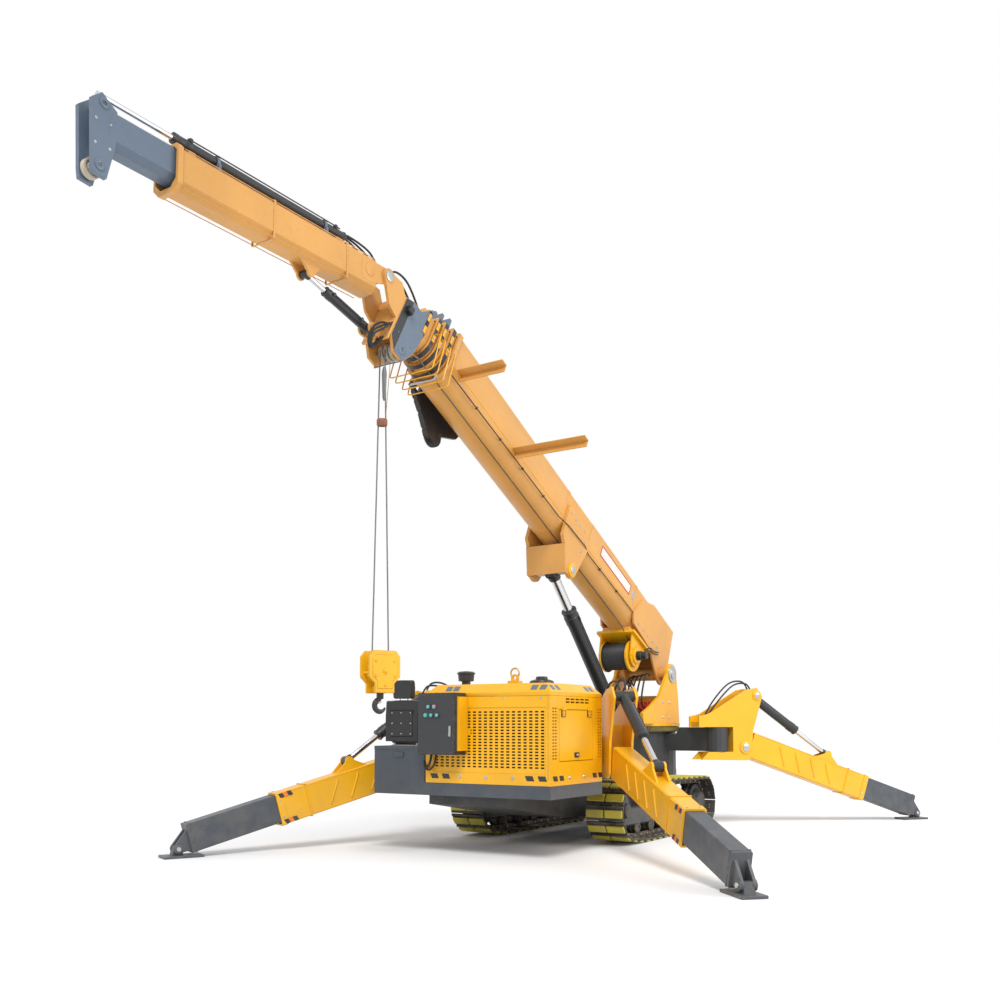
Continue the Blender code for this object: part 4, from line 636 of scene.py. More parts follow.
def grille():
    """Level strips with short posts between them, and the fins of the core behind."""
    sheet = (HOOD_FRONT - 0.012, HOOD_FRONT - 0.006)
    pitch = (HOLES_X[1] - HOLES_X[0]) / HOLE_COLUMNS
    blank = (HOLES_X[0] + pitch * BLANK_COLUMNS[0], HOLES_X[0] + pitch * (BLANK_COLUMNS[1] + 1))
    strips = bars(GRILLE_Z, HOLES_Z, HOLE_ROWS, 0.48)
    posts = bars(GRILLE_X, HOLES_X, HOLE_COLUMNS, 0.42)
    panel = Shape(MACHINE)
    for strip in strips:
        panel.box(GRILLE_X, sheet, strip)
    for row, (under, over) in enumerate(zip(strips, strips[1:])):
        for post in posts + ([blank] if row in BLANK_ROWS else []):
            panel.box(post, sheet, (under[1] - 0.0002, over[0] + 0.0002))
    panel.done("grille", "base", "amber_sheet", ("hood_grille",))
    core = Shape(MACHINE)
    core.box((GRILLE_X[0] + 0.02, GRILLE_X[1] - 0.02), (HOOD_FRONT - 0.075, HOOD_FRONT - 0.055),
             (GRILLE_Z[0] + 0.01, GRILLE_Z[1] - 0.01))
    for index in range(54):
        x = GRILLE_X[0] + 0.04 + index * 0.0235
        core.box((x, x + 0.004), (HOOD_FRONT - 0.056, HOOD_FRONT - 0.050),
                 (GRILLE_Z[0] + 0.02, GRILLE_Z[1] - 0.02))
    core.done("radiator_core", "base", "black")


def slanted(start, sign):
    """A hazard mark's outline, which leans as it goes up."""
    corners = ((0, 0.775), (0.085, 0.775), (0.065, 0.825), (-0.02, 0.825))
    return [(start + sign * across, up) for across, up in corners]


def bevel_tab(edge):
    """A thin tab's outline on the roof's bevel, as (outward, up)."""
    spots = ((0.022, -0.001), (0.068, -0.001), (0.068, 0.0012), (0.022, 0.0012))
    return [(edge - inward + proud, HOOD_TOP - HOOD_BEVEL + inward + proud) for inward, proud in spots]


def hood_fittings():
    front = HOOD_FRONT
    marks, tabs, bolts = Shape(MACHINE), Shape(MACHINE), Shape(MACHINE)
    for x in (-0.32, -0.18, 0.80, 0.94):
        marks.plate(slanted(x, 1), "f", front, front + 0.0012)
    for f in (1.28, 1.15, 0.43, 0.30):
        marks.plate(slanted(f, -1), "x", DECK_X, DECK_X + 0.0012)
    marks.done("hood_marks", "base", "black")
    bolts.heads([(x, front, 0.80) for x in (0.02, 0.33, 0.64)], "f", 0.014)
    bolts.heads([(DECK_X, f, 0.80) for f in (0.95, 0.64)], "x", 0.014)
    bolts.heads([(x, front, 1.58) for x in (-0.33, 0.10, 0.53, 0.96)], "f", 0.009)
    bolts.done("hood_bolts", "base", "zinc")
    for x in (-0.17, -0.08, 0.83, 0.93):
        tabs.plate(bevel_tab(DECK_FRONT), "x", x, x + 0.07)
    for f in (1.19, 1.08, 0.46, 0.36):
        tabs.plate(bevel_tab(DECK_X), "f", f, f + 0.07)
    tabs.done("hood_tabs", "base", "blue_grey")

    latch, catch, hinges = Shape(MACHINE), Shape(MACHINE), Shape(MACHINE)
    x, middle = DECK_X, DOOR_MIDDLE
    latch.box((x - 0.004, x + 0.008), (middle - 0.05, middle + 0.05), (0.995, 1.045), 0.004)
    latch.done("door_latch_plate", "hood_door", "black")
    catch.box((x + 0.006, x + 0.018), (middle - 0.028, middle + 0.028), (1.008, 1.032), 0.005)
    catch.lathe([(0.0, 0.007), (0.006, 0.007)], (x + 0.018, middle, 1.020), "x", 16)
    catch.done("door_latch", "hood_door", "zinc")
    for f in (middle - 0.28, middle + 0.28):
        hinges.box((x + 0.0005, x + 0.006), (f - 0.045, f + 0.045), (1.395, 1.462), 0.002)
        hinges.heads([(x + 0.006, f + end, 1.420) for end in (-0.025, 0.025)], "x", 0.007)
    hinges.done("door_hinges", "hood_door", "black")

    foot, bow, dome, intake = (Shape(MACHINE) for _ in range(4))
    foot.box((0.29, 0.43), (0.77, 0.87), (HOOD_TOP + 0.0005, HOOD_TOP + 0.010))
    foot.done("lifting_eye_base", "base", "brown")
    bow.tube([(x, 0.82, z) for x, z in arc((0.36, HOOD_TOP + 0.125), 0.05, -70, 245, 21)], 0.009, 10)
    bow.done("lifting_shackle", "base", "gold")
    dome.lathe([(0.0, 0.125), (0.022, 0.125), (0.035, 0.118), (0.045, 0.09), (0.052, 0.062), (0.072, 0.060),
                (0.080, 0.050), (0.082, 0.004)], (0.70, 0.86, HOOD_TOP), "z", 40)
    dome.done("filler_dome", "base", "black", ("filler_cap",))
    intake.lathe([(0.0, 0.050), (0.05, 0.046), (0.055, 0.082), (0.125, 0.088), (0.132, 0.098), (0.142, 0.098),
                  (0.156, 0.080), (0.162, 0.02)], (-0.26, 0.80, HOOD_TOP), "z", 32)
    intake.done("intake_hood", "base", "black", ("intake_cap",))


def cabinet():
    face = CABINET_FACE
    x0, x1 = CABINET_X
    low, high = CABINET_Z
    door, handle, bracket, conduits = (Shape(MACHINE) for _ in range(4))
    door.box(CABINET_X, (face - 0.025, face), CABINET_Z, 0.006)
    door.box((x0 + 0.02, x1 - 0.02), (face - 0.002, face + 0.003), (low + 0.02, high - 0.02), 0.002)
    door.done("cabinet_front", "cabinet_door", "soot", ("cabinet_door",))
    handle.box((x1 - 0.065, x1 - 0.040), (face + 0.002, face + 0.016), (1.20, 1.31), 0.006)
    handle.lathe([(0.0, 0.008), (0.010, 0.008)], (x1 - 0.0525, face + 0.014, 1.225), "f", 16)
    handle.done("cabinet_handle", "cabinet_door", "zinc")
    # x and z of each button, its ring's finish
    buttons = ((-0.22, 1.50, "black"), (-0.15, 1.50, "red"), (-0.255, 1.415, "green"),
               (-0.185, 1.415, "black"), (-0.115, 1.415, "black"))
    foot = [(0.0, 0.025), (0.008, 0.025), (0.011, 0.022), (0.011, 0.012)]
    crown = [(0.0, 0.018), (0.012, 0.018), (0.016, 0.013), (0.017, 0.002)]
    for number, (x, z, colour) in enumerate(buttons, start=1):
        ring, top = Shape(MACHINE), Shape(MACHINE)
        ring.lathe(foot, (x, face + 0.003, z), "f", 24)
        ring.done("button_ring_%d" % number, "cabinet_door", colour)
        top.lathe(crown, (x, face + 0.011, z), "f", 24)
        top.done("button_top_%d" % number, "cabinet_door", "pale_blue")
    bracket.box((x1 + 0.002, x1 + 0.030), (1.345, 1.50), (1.06, 1.60))
    bracket.done("cabinet_bracket", "base", "amber")
    rounded("control_cabinet", "cabinet_case", "soot", 0.004, 2)
    conduits.hose([(x0 + 0.06, 1.38, low), (x0 + 0.05, 1.40, 0.93), (x0 - 0.02, 1.37, 0.88),
                   (x0 - 0.06, 1.34, 0.95)], 0.012)
    conduits.hose([(x0 + 0.12, 1.38, low), (x0 + 0.11, 1.41, 0.91), (x0 + 0.02, 1.38, 0.86),
                   (x0 - 0.06, 1.34, 0.90)], 0.010)
    conduits.done("cabinet_conduits", "base", "rubber")


def deck():
    rounded("deck_and_toolbox", "deck", "grey", 0.006, 3)
    trim = Shape(MACHINE)
    trim.box((-DECK_X - 0.004, TOOLBOX_RIGHT + 0.002), (DECK_FRONT - 0.624, DECK_FRONT + 0.004),
             (TOOLBOX_TOP - 0.035, TOOLBOX_TOP + 0.004), 0.003)
    trim.box((-0.80, -0.68), (DECK_FRONT + 0.004, DECK_FRONT + 0.014), (0.985, 1.035), 0.004)
    trim.done("toolbox_lid", "base", "grey")


def cushion(name, x, f, z, crown):
    """A padded block: its faces bulge and its corners stay in."""
    shape = Shape(MACHINE)
    middle = [(a + b) / 2 for a, b in (x, f, z)]
    half = [(b - a) / 2 for a, b in (x, f, z)]
    bmesh.ops.create_cube(shape.mesh, size=2.0)
    bmesh.ops.subdivide_edges(shape.mesh, edges=list(shape.mesh.edges), cuts=6, use_grid_fill=True)
    for vert in shape.mesh.verts:
        u, v, w = vert.co
        full = [(1 - v * v) * (1 - w * w), (1 - u * u) * (1 - w * w), (1 - u * u) * (1 - v * v)]
        round_off = 1 - 0.10 * (u * v * w) ** 2
        spot = []
        for value, size, bulge in zip((u, v, w), half, full):
            pushed = value * size * round_off
            if abs(value) > 0.999:
                pushed += math.copysign(crown * bulge ** 0.5 - crown, value)
            spot.append(pushed)
        vert.co = (middle[0] + spot[0], -middle[1] + spot[1], middle[2] + spot[2])
    piece = shape.done(name, "base", "vinyl", sharp=180.0)
    smooth = piece.modifiers.new("smooth", "SUBSURF")
    smooth.levels = 2
    smooth.render_levels = 2
    return piece


def seat():
    back = DECK_FRONT - 0.12
    base = TOOLBOX_TOP + 0.0003
    left, right = SEAT_X - 0.22, SEAT_X + 0.22
    bottom = cushion("seat_cushion", (left + 0.01, right - 0.01), (back - 0.45, back - 0.05),
                     (base + 0.085, base + 0.185), 0.014)
    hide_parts("seat")
    cushion("seat_back_pad", (left + 0.02, right - 0.02), (back - 0.055, back + 0.02),
            (base + 0.07, base + 0.47), 0.012)
    cushion("headrest", (SEAT_X - 0.115, SEAT_X + 0.115), (back - 0.02, back + 0.045),
            (base + 0.505, base + 0.69), 0.010)
    shell, dots, rails, pan, piping = (Shape(MACHINE) for _ in range(5))
    shell.plate([(back + 0.012, base + 0.06), (back + 0.055, base + 0.05), (back + 0.058, base + 0.30),
                 (back + 0.045, base + 0.47), (back + 0.020, base + 0.48)], "x", left + 0.012, right - 0.012)
    shell.box((SEAT_X - 0.15, SEAT_X + 0.15), (back + 0.052, back + 0.060), (base + 0.10, base + 0.38), 0.004)
    shell.done("seat_back_shell", "base", "vinyl")
    for x in (SEAT_X - 0.12, SEAT_X, SEAT_X + 0.12):
        for z in (base + 0.13, base + 0.24, base + 0.35):
            dots.lathe([(0.0, 0.008), (0.004, 0.007), (0.006, 0.003)], (x, back + 0.060, z), "f", 14)
    dots.done("seat_screws", "base", "zinc")
    for x in (SEAT_X - 0.05, SEAT_X + 0.05):
        rails.rod((x, back + 0.012, base + 0.44), (x, back + 0.012, base + 0.54), 0.006, 12)
    rails.box((left + 0.03, right - 0.03), (back - 0.40, back - 0.02), (base, base + 0.016), 0.003)
    for x in (left + 0.07, right - 0.07):
        rails.box((x - 0.016, x + 0.016), (back - 0.42, back - 0.02), (base + 0.016, base + 0.034), 0.003)
    rails.done("seat_rails", "base", "zinc")
    pan.box((left + 0.02, right - 0.02), (back - 0.43, back - 0.02), (base + 0.034, base + 0.088), 0.012)
    pan.done("seat_pan", "base", "black")
    # each half of a piping loop as (in from the seat's side, forward, up)
    loops = ([(0.018, 0.022, 0.08), (0.018, 0.022, 0.44), (0.05, 0.022, 0.475)],
             [(0.012, -0.06, 0.13), (0.012, -0.42, 0.13), (0.05, -0.452, 0.13)])
    for half in loops:
        loop = [(left + inward, back + f, base + up) for inward, f, up in half]
        loop += [(right - inward, back + f, base + up) for inward, f, up in reversed(half)]
        piping.hose(loop, 0.006, steps=5)
    piping.done("seat_piping", "base", "vinyl_edge")


# Tracks

def track_path():
    """The outer face of the shoes' plates, as (y, z), counterclockwise from the front."""
    radius = TRACK_RADIUS - PAD_HEIGHT
    front = (TRACK_FRONT + TRACK_RADIUS, TRACK_RADIUS + IDLER_LIFT)
    rear = (TRACK_REAR - TRACK_RADIUS, TRACK_RADIUS)
    touch = (front[0] + IDLER_RAMP, PAD_HEIGHT)
    away = math.dist(front, touch)
    to_front = math.degrees(math.atan2(front[1] - touch[1], front[0] - touch[0]))
    lean = math.degrees(math.asin(radius / away))
    slope = math.degrees(math.atan2(front[1] - rear[1], rear[0] - front[0]))
    front_arc = arc(front, radius, 90.0 - slope, to_front + lean + 90.0, 24)
    rear_arc = arc(rear, radius, -90.0, 90.0 - slope, 24)
    return front_arc + [touch] + rear_arc, front, rear


def along(path, lengths, phase):
    """Evenly spaced (place, outward normal) pairs along a closed path, moved on by a part of a step."""
    result = []
    for index in range(SHOE_COUNT):
        left = sum(lengths) * (index + phase) / SHOE_COUNT
        step = 0
        while left > lengths[step]:
            left -= lengths[step]
            step += 1
        (y0, z0), (y1, z1) = path[step], path[(step + 1) % len(path)]
        share = left / lengths[step]
        normal = ((z1 - z0) / lengths[step], -(y1 - y0) / lengths[step])
        result.append(((y0 + (y1 - y0) * share, z0 + (z1 - z0) * share), normal))
    return result


def track(side, sign):
    path, front, rear = track_path()
    lengths = [math.dist(a, b) for a, b in zip(path, path[1:] + path[:1])]
    pitch = sum(lengths) / SHOE_COUNT
    touch = path.index((front[0] + IDLER_RAMP, PAD_HEIGHT))
    phase = (sum(lengths[:touch]) / pitch + 0.5) % 1.0
    x = sign * TRACK_X
    # finish, size, bevel and places of the blocks on each shoe
    blocks = (
        ("track", (SHOE_WIDTH, pitch * 0.93, 0.018), 0.003, [(0, 0, -0.010)]),
        ("track", (SHOE_WIDTH - 0.01, 0.014, 0.022), 0.003, [(0, pitch * 0.44, 0.003)]),
        ("track", (0.034, pitch * 1.05, 0.052), 0.006, [(-0.062, 0, -0.044), (0.062, 0, -0.044)]),
        ("worn_yellow", (0.208, pitch * 0.50, 0.0275), 0.006, [(u, -0.006, 0.011) for u in (-0.112, 0.112)]),
        ("chain_pin", (0.016, 0.016, 0.008), 0.003,
         [(u, v, -0.021) for u in (-0.1512, 0.1512) for v in (-0.016, 0.016)]),
    )
    pieces = {"track": Shape(MACHINE), "worn_yellow": Shape(MACHINE), "chain_pin": Shape(MACHINE)}
    for (y, z), (ny, nz) in along(path, lengths, phase):
        spot = Matrix.Translation((x, y, z)) @ Matrix.Rotation(math.atan2(-ny, nz), 4, "X")
        for material, size, bevel, places in blocks:
            for place in places:
                pieces[material].block(spot @ Matrix.Translation(place), size, bevel)
    for (y, z), (ny, nz) in along(path, lengths, (phase + 0.5) % 1.0):
        here = (ny * 0.046 - y, z - nz * 0.046)
        pieces["chain_pin"].rod((x - 0.088, *here), (x + 0.088, *here), 0.014, 12)
    pieces["track"].done("track_shoes_" + side, "base", "track", ("track_" + side,))
    pieces["worn_yellow"].done("track_pads_" + side, "base", "worn_yellow")
    pieces["chain_pin"].done("chain_pins_" + side, "base", "chain_pin")

    wheels = Shape(MACHINE)
    hub = (-rear[0], rear[1])
    idler = (-front[0], front[1])
    root = TRACK_RADIUS - PAD_HEIGHT - 0.060
    wheels.plate(circle(hub, TEETH * 4, root + 0.018, root + 0.018, root - 0.012, root - 0.012), "x",
                 x - 0.022, x + 0.022)
    cover = ((0.07, 0.165), (0.115, 0.150), (0.135, 0.125), (0.150, 0.120), (0.152, 0.05))
    cap = ((0.10, 0.09), (0.145, 0.075), (0.152, 0.03))
    for way in BOTH:
        wheels.lathe([(way * across, radius) for across, radius in cover], (x, *hub), "x", 36)
        wheels.heads([(x + 0.135 * way, *spot) for spot in circle(hub, 10, 0.135)], "x", 0.010, way)
        wheels.lathe([(way * across, radius) for across, radius in cap], (x, *idler), "x", 32)
    wheels.spool([(0.075, 0.205), (0.070, 0.225), (0.030, 0.225), (0.024, 0.245)], (x, *idler), 48, ring=True)
    roller = [(0.098, 0.02), (0.098, 0.052), (0.085, 0.076), (0.074, 0.076), (0.070, 0.0625), (0.030, 0.0625),
              (0.026, 0.076)]
    first = front[0] + IDLER_RAMP + 0.08
    for index in range(5):
        y = first + (rear[0] - 0.30 - first) * index / 4
        wheels.spool(roller, (x, -y, 0.1625), 28, ring=True)
    wheels.done("track_wheels_" + side, "base", "track")


# Cylinders

def cylinder(name, place, bodies, sizes):
    """The turned barrel with its gland and welded eye, and the polished rod, in the cylinder's frame."""
    radius, length, rod, reach, rod_length, eye, half, tip_eye, tip_half, pin_half = sizes
    barrel, piston, tip, pin, ports = (Shape(place) for _ in range(5))
    # (distance before the barrel's end, radius), both in barrel radii
    gland = ((2.2, 1.0), (2.15, 1.07), (1.0, 1.09), (0.95, 1.02), (0.25, 1.02), (0.2, 1.09))
    barrel.lathe([(0.45 * eye, 0.010), (0.45 * eye, radius * 0.93), (0.9 * eye, radius)]
                 + [(length - back * radius, radius * wide) for back, wide in gland]
                 + [(length - 0.004, radius * 1.09), (length, radius * 1.05), (length, rod + 0.002),
                    (length - 0.05, rod + 0.002), (length - 0.05, 0.010)], (0, 0, 0), "f", 40, ring=True)
    barrel.spool([(half - 0.0005, eye * 0.93), (half - 0.004, eye)], (0, 0, 0), 32)
    barrel.done(name + "_cylinder", bodies[0], "black", (name + "_barrel",))
    inner = reach - rod_length
    piston.lathe([(inner, rod * 0.95), (inner + 0.01, rod), (reach - 0.6 * tip_eye, rod)], (0, 0, 0), "f", 32)
    piston.done(name + "_piston", bodies[1], "chrome", (name + "_rod",))
    tip.spool([(tip_half - 0.0005, tip_eye * 0.94), (tip_half - 0.004, tip_eye)], (0, reach, 0), 32)
    tip.lathe([(reach - 1.35 * tip_eye, rod * 1.25), (reach - 0.5 * tip_eye, rod * 1.45)], (0, 0, 0), "f", 24)
    tip.done(name + "_rod_eye", bodies[1], "black")
    pin.spool([(pin_half - 0.0005, tip_eye * 0.5), (pin_half - 0.004, tip_eye * 0.54)], (0, reach, 0), 24)
    pin.done(name + "_rod_pin", bodies[1], "zinc")
    near, far = eye + 0.10, length - 1.6 * radius
    port = [(radius * 0.95, 0.016), (radius + 0.022, 0.016), (radius + 0.024, 0.010)]
    for at in (near, far):
        ports.lathe(port, (0, at, 0), "x", 16)
    ports.hose([(radius + 0.014, near, 0), (radius + 0.016, near + 0.08, 0), (radius + 0.016, far - 0.08, 0),
                (radius + 0.014, far, 0)], 0.007, 10, 4)
    ports.done(name + "_ports", bodies[0], "black")


def cylinders():
    # barrel radius and length, rod radius, reach and length, foot eye and half, tip eye and half, pin half
    cylinder("lift", LIFT, ("lift_barrel", "lift_rod"),
             (0.089, 1.76, 0.058, 2.335, 1.68, 0.08, 0.10, 0.075, 0.07, 0.2262))
    cylinder("luff", LUFF, ("luff_barrel", "luff_rod"),
             (0.045, 0.60, 0.024, 0.855, 0.54, 0.04, 0.052, 0.035, 0.052, 0.052))
    for name, (_, is_front) in LEGS.items():
        barrel, reach = (0.70, 1.1615) if is_front else (0.82, 1.395)
        place = joint_frame(name + "_barrel_turn", name + "_rod_slide")
        cylinder(name, place, (name + "_barrel", name + "_rod"),
                 (0.06, barrel, 0.032, reach, barrel - 0.07, 0.055, 0.108, 0.0495, 0.052, 0.052))


# Outriggers

def outrigger(name, length):
    leg = joint_frame(name + "_lift", name + "_extend")
    half = LEG_WIDTH / 2
    ribs, seams, screws, foot, pin = (Shape(leg) for _ in range(5))
    for side in BOTH:
        x = side * (half + 0.001)
        for f in (0.52 + 0.25 * index for index in range(4)):
            ribs.tube([(x, f, LEG_TOP - 0.055), (x, f + 0.07, 0.06), (x, f + 0.14, LEG_LOW + 0.055)],
                      0.011, 10)
        for up in (LEG_LOW + 0.012, LEG_TOP - 0.012):
            seams.tube([(side * half, f, up) for f in (0.16, 0.6, 1.2, 1.85)], 0.004, 6)
    ribs.done(name + "_leg_ribs", name + "_leg", "amber")
    seams.frame_band(half, (LEG_LENGTH - 0.35, LEG_LENGTH - 0.335), (LEG_LOW, LEG_TOP), 0.008)
    seams.done(name + "_leg_seams", name + "_leg", "amber")
    if name != "rear_right":
        # finish, and how far each mark starts before the leg's end
        for color, starts in (("black", (0.19, 0.09)), ("orange", (0.14,))):
            marks = Shape(leg)
            for low, high in ((LEG_LOW + 0.005, LEG_LOW + 0.055), (LEG_TOP - 0.055, LEG_TOP - 0.005)):
                for f in (LEG_LENGTH - start for start in starts):
                    marks.pair([(f, low), (f + 0.045, low), (f + 0.065, high), (f + 0.02, high)],
                               half - 0.0018, half + 0.008)
            marks.done(name + "_leg_marks_" + color, name + "_leg", color)
    f = LEG_LENGTH - 0.035
    screws.side_heads(half + 0.007, ((f, LEG_LOW + 0.08), (f, LEG_TOP - 0.08)), 0.009)
    screws.heads([(x, f, LEG_TOP + 0.007) for x in (-0.06, 0.06)], "z", 0.009)
    screws.done(name + "_leg_bolts", name + "_leg", "zinc")

    low = LEG_TOP - 0.0125 - 0.295
    foot.box((-0.094, 0.094), (length - 0.055, length - 0.035), (low - 0.004, LEG_TOP - 0.0085), 0.002)
    foot.pair([(length - 0.30, low + 0.03), (length - 0.02, low + 0.02), (length - 0.02, LEG_TOP - 0.06)],
              0.0895, 0.0903)
    foot.bosses([(0.062, 0.046), (0.074, 0.046), (0.077, 0.040)], (length + FOOT_PIN_AHEAD, 0), 24)
    foot.done(name + "_extension_details", name + "_extension", "grey")
    pin.spool([(0.090, 0.020), (0.086, 0.024)], (0, length + FOOT_PIN_AHEAD, 0), 20)
    pin.done(name + "_foot_pin", name + "_extension", "zinc")


def bracket(name, is_front):
    swivel = level_frame(JOINTS[name + "_swivel"]["pos_m"], JOINTS[name + "_extend"]["axis"])
    drop = 0.09 if is_front else 0.0
    hinge = (0.352, 0.893 if is_front else 1.023)
    base = (0.534, 1.702 - drop)
    bosses, pins, hoses = (Shape(swivel) for _ in range(3))
    # a front bracket swings close by the hood, so its fittings stay off that side
    middle = Vector((0.3, -0.8))
    sides = sorted(BOTH, key=lambda side: ((swivel @ Vector((side, -0.35, 1.0))).xy - middle).length)
    sides = sides[1:] if is_front else sides
    bosses.bosses([(0.131, 0.085), (0.145, 0.085), (0.148, 0.078)], hinge, 32, sides)
    bosses.bosses([(0.131, 0.065), (0.143, 0.065), (0.146, 0.058)], base, 28, sides)
    bosses.done(name + "_bracket_bosses", name + "_bracket", "amber")
    for place, radius, face in ((hinge, 0.05, 0.147), (base, 0.038, 0.145)):
        pins.bosses([(face, radius), (face + 0.008, radius), (face + 0.011, radius * 0.8)], place, 24, sides)
        pins.side_heads(face + 0.011, [place], 0.013, sides)
    top = 1.355 - drop
    pins.lathe([(top, 0.085), (top + 0.018, 0.085), (top + 0.022, 0.075)], (0, 0, 0), "z", 32)
    pins.done(name + "_bracket_pins", name + "_bracket", "zinc")
    for x, lift in ((-0.03, 0.0), (0.035, 0.03)):
        up = lift - drop
        hoses.hose([(x, -0.20, 1.36 - drop), (x * 1.3, -0.02, 1.60 + up), (x * 1.6, 0.22, 1.83 + up),
                    (x * 1.3, 0.42, 1.86 + up), (x, 0.505, 1.775 - drop)], 0.011)
    hoses.done(name + "_bracket_hoses", name + "_bracket", "rubber")


# Turntable and winch

def turntable():
    bolts, teeth, motor, valves, stand, hoses = (Shape(SLEW) for _ in range(6))
    bolts.heads([(*spot, 1.3353) for spot in circle((0, 0), 30, 0.525)], "z", 0.013)
    bolts.side_heads(0.41, ((0.10, 1.62), (-0.10, 1.62), (0.10, 1.42), (-0.10, 1.42)), 0.013)
    bolts.bosses([(0.409, 0.115), (0.425, 0.115), (0.430, 0.105)], (-0.20, 2.011), 40)
    bolts.bosses([(0.428, 0.075), (0.440, 0.075), (0.444, 0.065)], (-0.20, 2.011), 36)
    bolts.done("turntable_bolts", "turntable", "zinc")
    teeth.plate(circle((0, 0), 192, 0.546, 0.560), "z", 1.235, 1.285).done("slew_ring_teeth", "base", "olive")
    motor.lathe([(1.336, 0.100), (1.36, 0.100), (1.365, 0.086), (1.47, 0.086), (1.478, 0.100), (1.50, 0.100),
                 (1.505, 0.064), (1.64, 0.064), (1.655, 0.072), (1.68, 0.070), (1.69, 0.05)],
                (-0.21, -0.06, 0), "z", 36)
    motor.done("slew_drive", "turntable", "blue", ("slew_motor",))
    valves.box((-0.02, 0.22), (-0.02, 0.14), (1.42, 1.56), 0.006)
    for index in range(4):
        valves.lathe([(1.555, 0.022), (1.63, 0.022), (1.64, 0.014)], (0.015 + 0.06 * index, 0.06, 0), "z", 18)
    valves.done("valve_block", "turntable", "red")
    stand.box((0.0, 0.20), (0.0, 0.12), (1.335, 1.424), 0.003).done("valve_stand", "turntable", "grey")
    for index in range(5):
        x = -0.12 + 0.075 * index
        hoses.hose([(0.02 + 0.05 * index, 0.14, 1.48), (x, 0.24, 1.50 + 0.02 * index), (x, 0.26, 1.72),
                    (x * 0.9, 0.10, 1.92 + 0.02 * index), (x * 0.8, -0.06, 1.99)], 0.012)
    for x in (-0.30, -0.26, -0.22):
        hoses.hose([(x, -0.30, 1.35), (x - 0.01, -0.34, 1.52), (x + 0.01, -0.33, 1.68),
                    (x + 0.03, -0.24, 1.84), (x + 0.04, -0.12, 1.93)], 0.011)
    hoses.done("turntable_hoses", "turntable", "rubber")


def winch():
    forward, up = WINCH_AT
    at = (0, forward, up)
    drum, flanges, hubs, motor, hoses = (Shape(BOOM) for _ in range(5))
    rim = [(0.1995, 0.03), (0.1995, 0.203), (0.195, 0.205), (0.175, 0.205), (0.170, 0.203)]
    # one turn of rope: (part of the pitch from its middle, radius)
    turn = ((-0.48, 0.172), (-0.25, 0.1785), (0.0, 0.181), (0.25, 0.1785), (0.48, 0.172))
    turns = 20
    pitch = 0.34 / turns
    wound = [(-0.17 + pitch * (index + 0.5 + part), radius)
             for index in range(turns) for part, radius in turn]
    drum.lathe([(-x, radius) for x, radius in rim] + wound + rim[::-1], at, "x", 48, ring=True)
    drum.spool([(0.2195, 0.06)], at, 24)
    drum.done("rope_drum", "winch", "greased_rope", ("winch_drum",))
    flanges.bosses([(0.1745, 0.2060), (0.1998, 0.2060)], WINCH_AT, 48).done("drum_flanges", "winch", "amber")
    hubs.bosses([(0.239, 0.105), (0.262, 0.105), (0.268, 0.09)], WINCH_AT, 40)
    hubs.side_heads(0.240, circle(WINCH_AT, 8, 0.125, phase=0.5), 0.010)
    hubs.done("winch_hubs", "boom", "amber")
    motor.lathe([(0.264, 0.062), (0.33, 0.062), (0.336, 0.05), (0.40, 0.05), (0.406, 0.035)], at, "x", 28)
    motor.done("winch_motor", "boom", "black")
    for lift in (0.0, 0.035):
        hoses.hose([(0.36, forward + 0.02, up + 0.04 + lift), (0.37, forward - 0.10, up + 0.14 + lift),
                    (0.31, forward - 0.30, up + 0.22 + lift), (0.275, forward - 0.5, 0.16 + lift)], 0.010)
    hoses.done("winch_hoses", "boom", "rubber")


# Boom

def skin(shape, start, end, extra, inside=0.0005):
    """A thin band round the boom's outline, open at both ends; extra and inside are its two faces."""
    outlines = []
    for grown in (extra, inside):
        half = BOOM_WIDTH / 2 + grown
        top = BOOM_TOP + grown
        bevel = 0.02
        corners = [(half, top - bevel), (half - bevel, top), (bevel - half, top), (-half, top - bevel)]
        outlines.append(arc((0, BOOM_SEAM), half, 180.0, 360.0, 32) + corners)
    outer, inner = outlines
    rings = ((outer, start), (outer, end), (inner, end), (inner, start))
    return shape.join([[shape.vert(x, f, up) for x, up in outline] for outline, f in rings], closed=True)


def boom():
    half = BOOM_WIDTH / 2
    cover, bands, seams, bolts = (Shape(BOOM) for _ in range(4))
    # The skin and its bands take the paler amber copy, whose paleness is painted sheen.
    skin(cover, 1.12, 2.49, 0.003)
    skin(cover, 3.12, BOOM_END - 0.06, 0.003)
    cover.done("boom_skin", "boom", "amber_sheen_painted", sharp=50.0)
    for f, wide in ((1.12, 0.03), (3.12, 0.03), (BOOM_END - 0.075, 0.02)):
        skin(bands, f, f + wide, 0.006)
    bands.done("boom_bands", "boom", "amber_sheen_painted", sharp=50.0)
    for x in (-half - 0.003, half + 0.003):
        for run in ((1.15, 2.0, 2.48), (3.15, 4.5, 5.62)):
            seams.tube([(x, f, BOOM_SEAM) for f in run], 0.004, 6)
    seams.bosses([(0.269, 0.085), (0.284, 0.085), (0.288, 0.078)], LIFT_LUG, 36)
    seams.done("boom_seams", "boom", "amber")
    bolts.side_heads(0.270, ((2.68, 0.44), (2.80, 0.44), (2.92, 0.44), (3.04, 0.44), (2.62, 0.30),
                             (2.64, 0.16)), 0.011)
    bolts.bosses([(0.286, 0.05), (0.296, 0.05), (0.300, 0.042)], LIFT_LUG, 28)
    bolts.side_heads(half + 0.024, [(0.30 + 0.15 * index, 0.25) for index in range(5)], 0.012)
    bolts.side_heads(half + 0.022, [(5.67, up) for up in (0.40, 0.52, 0.64)], 0.008)
    bolts.done("boom_bolts", "boom", "zinc")


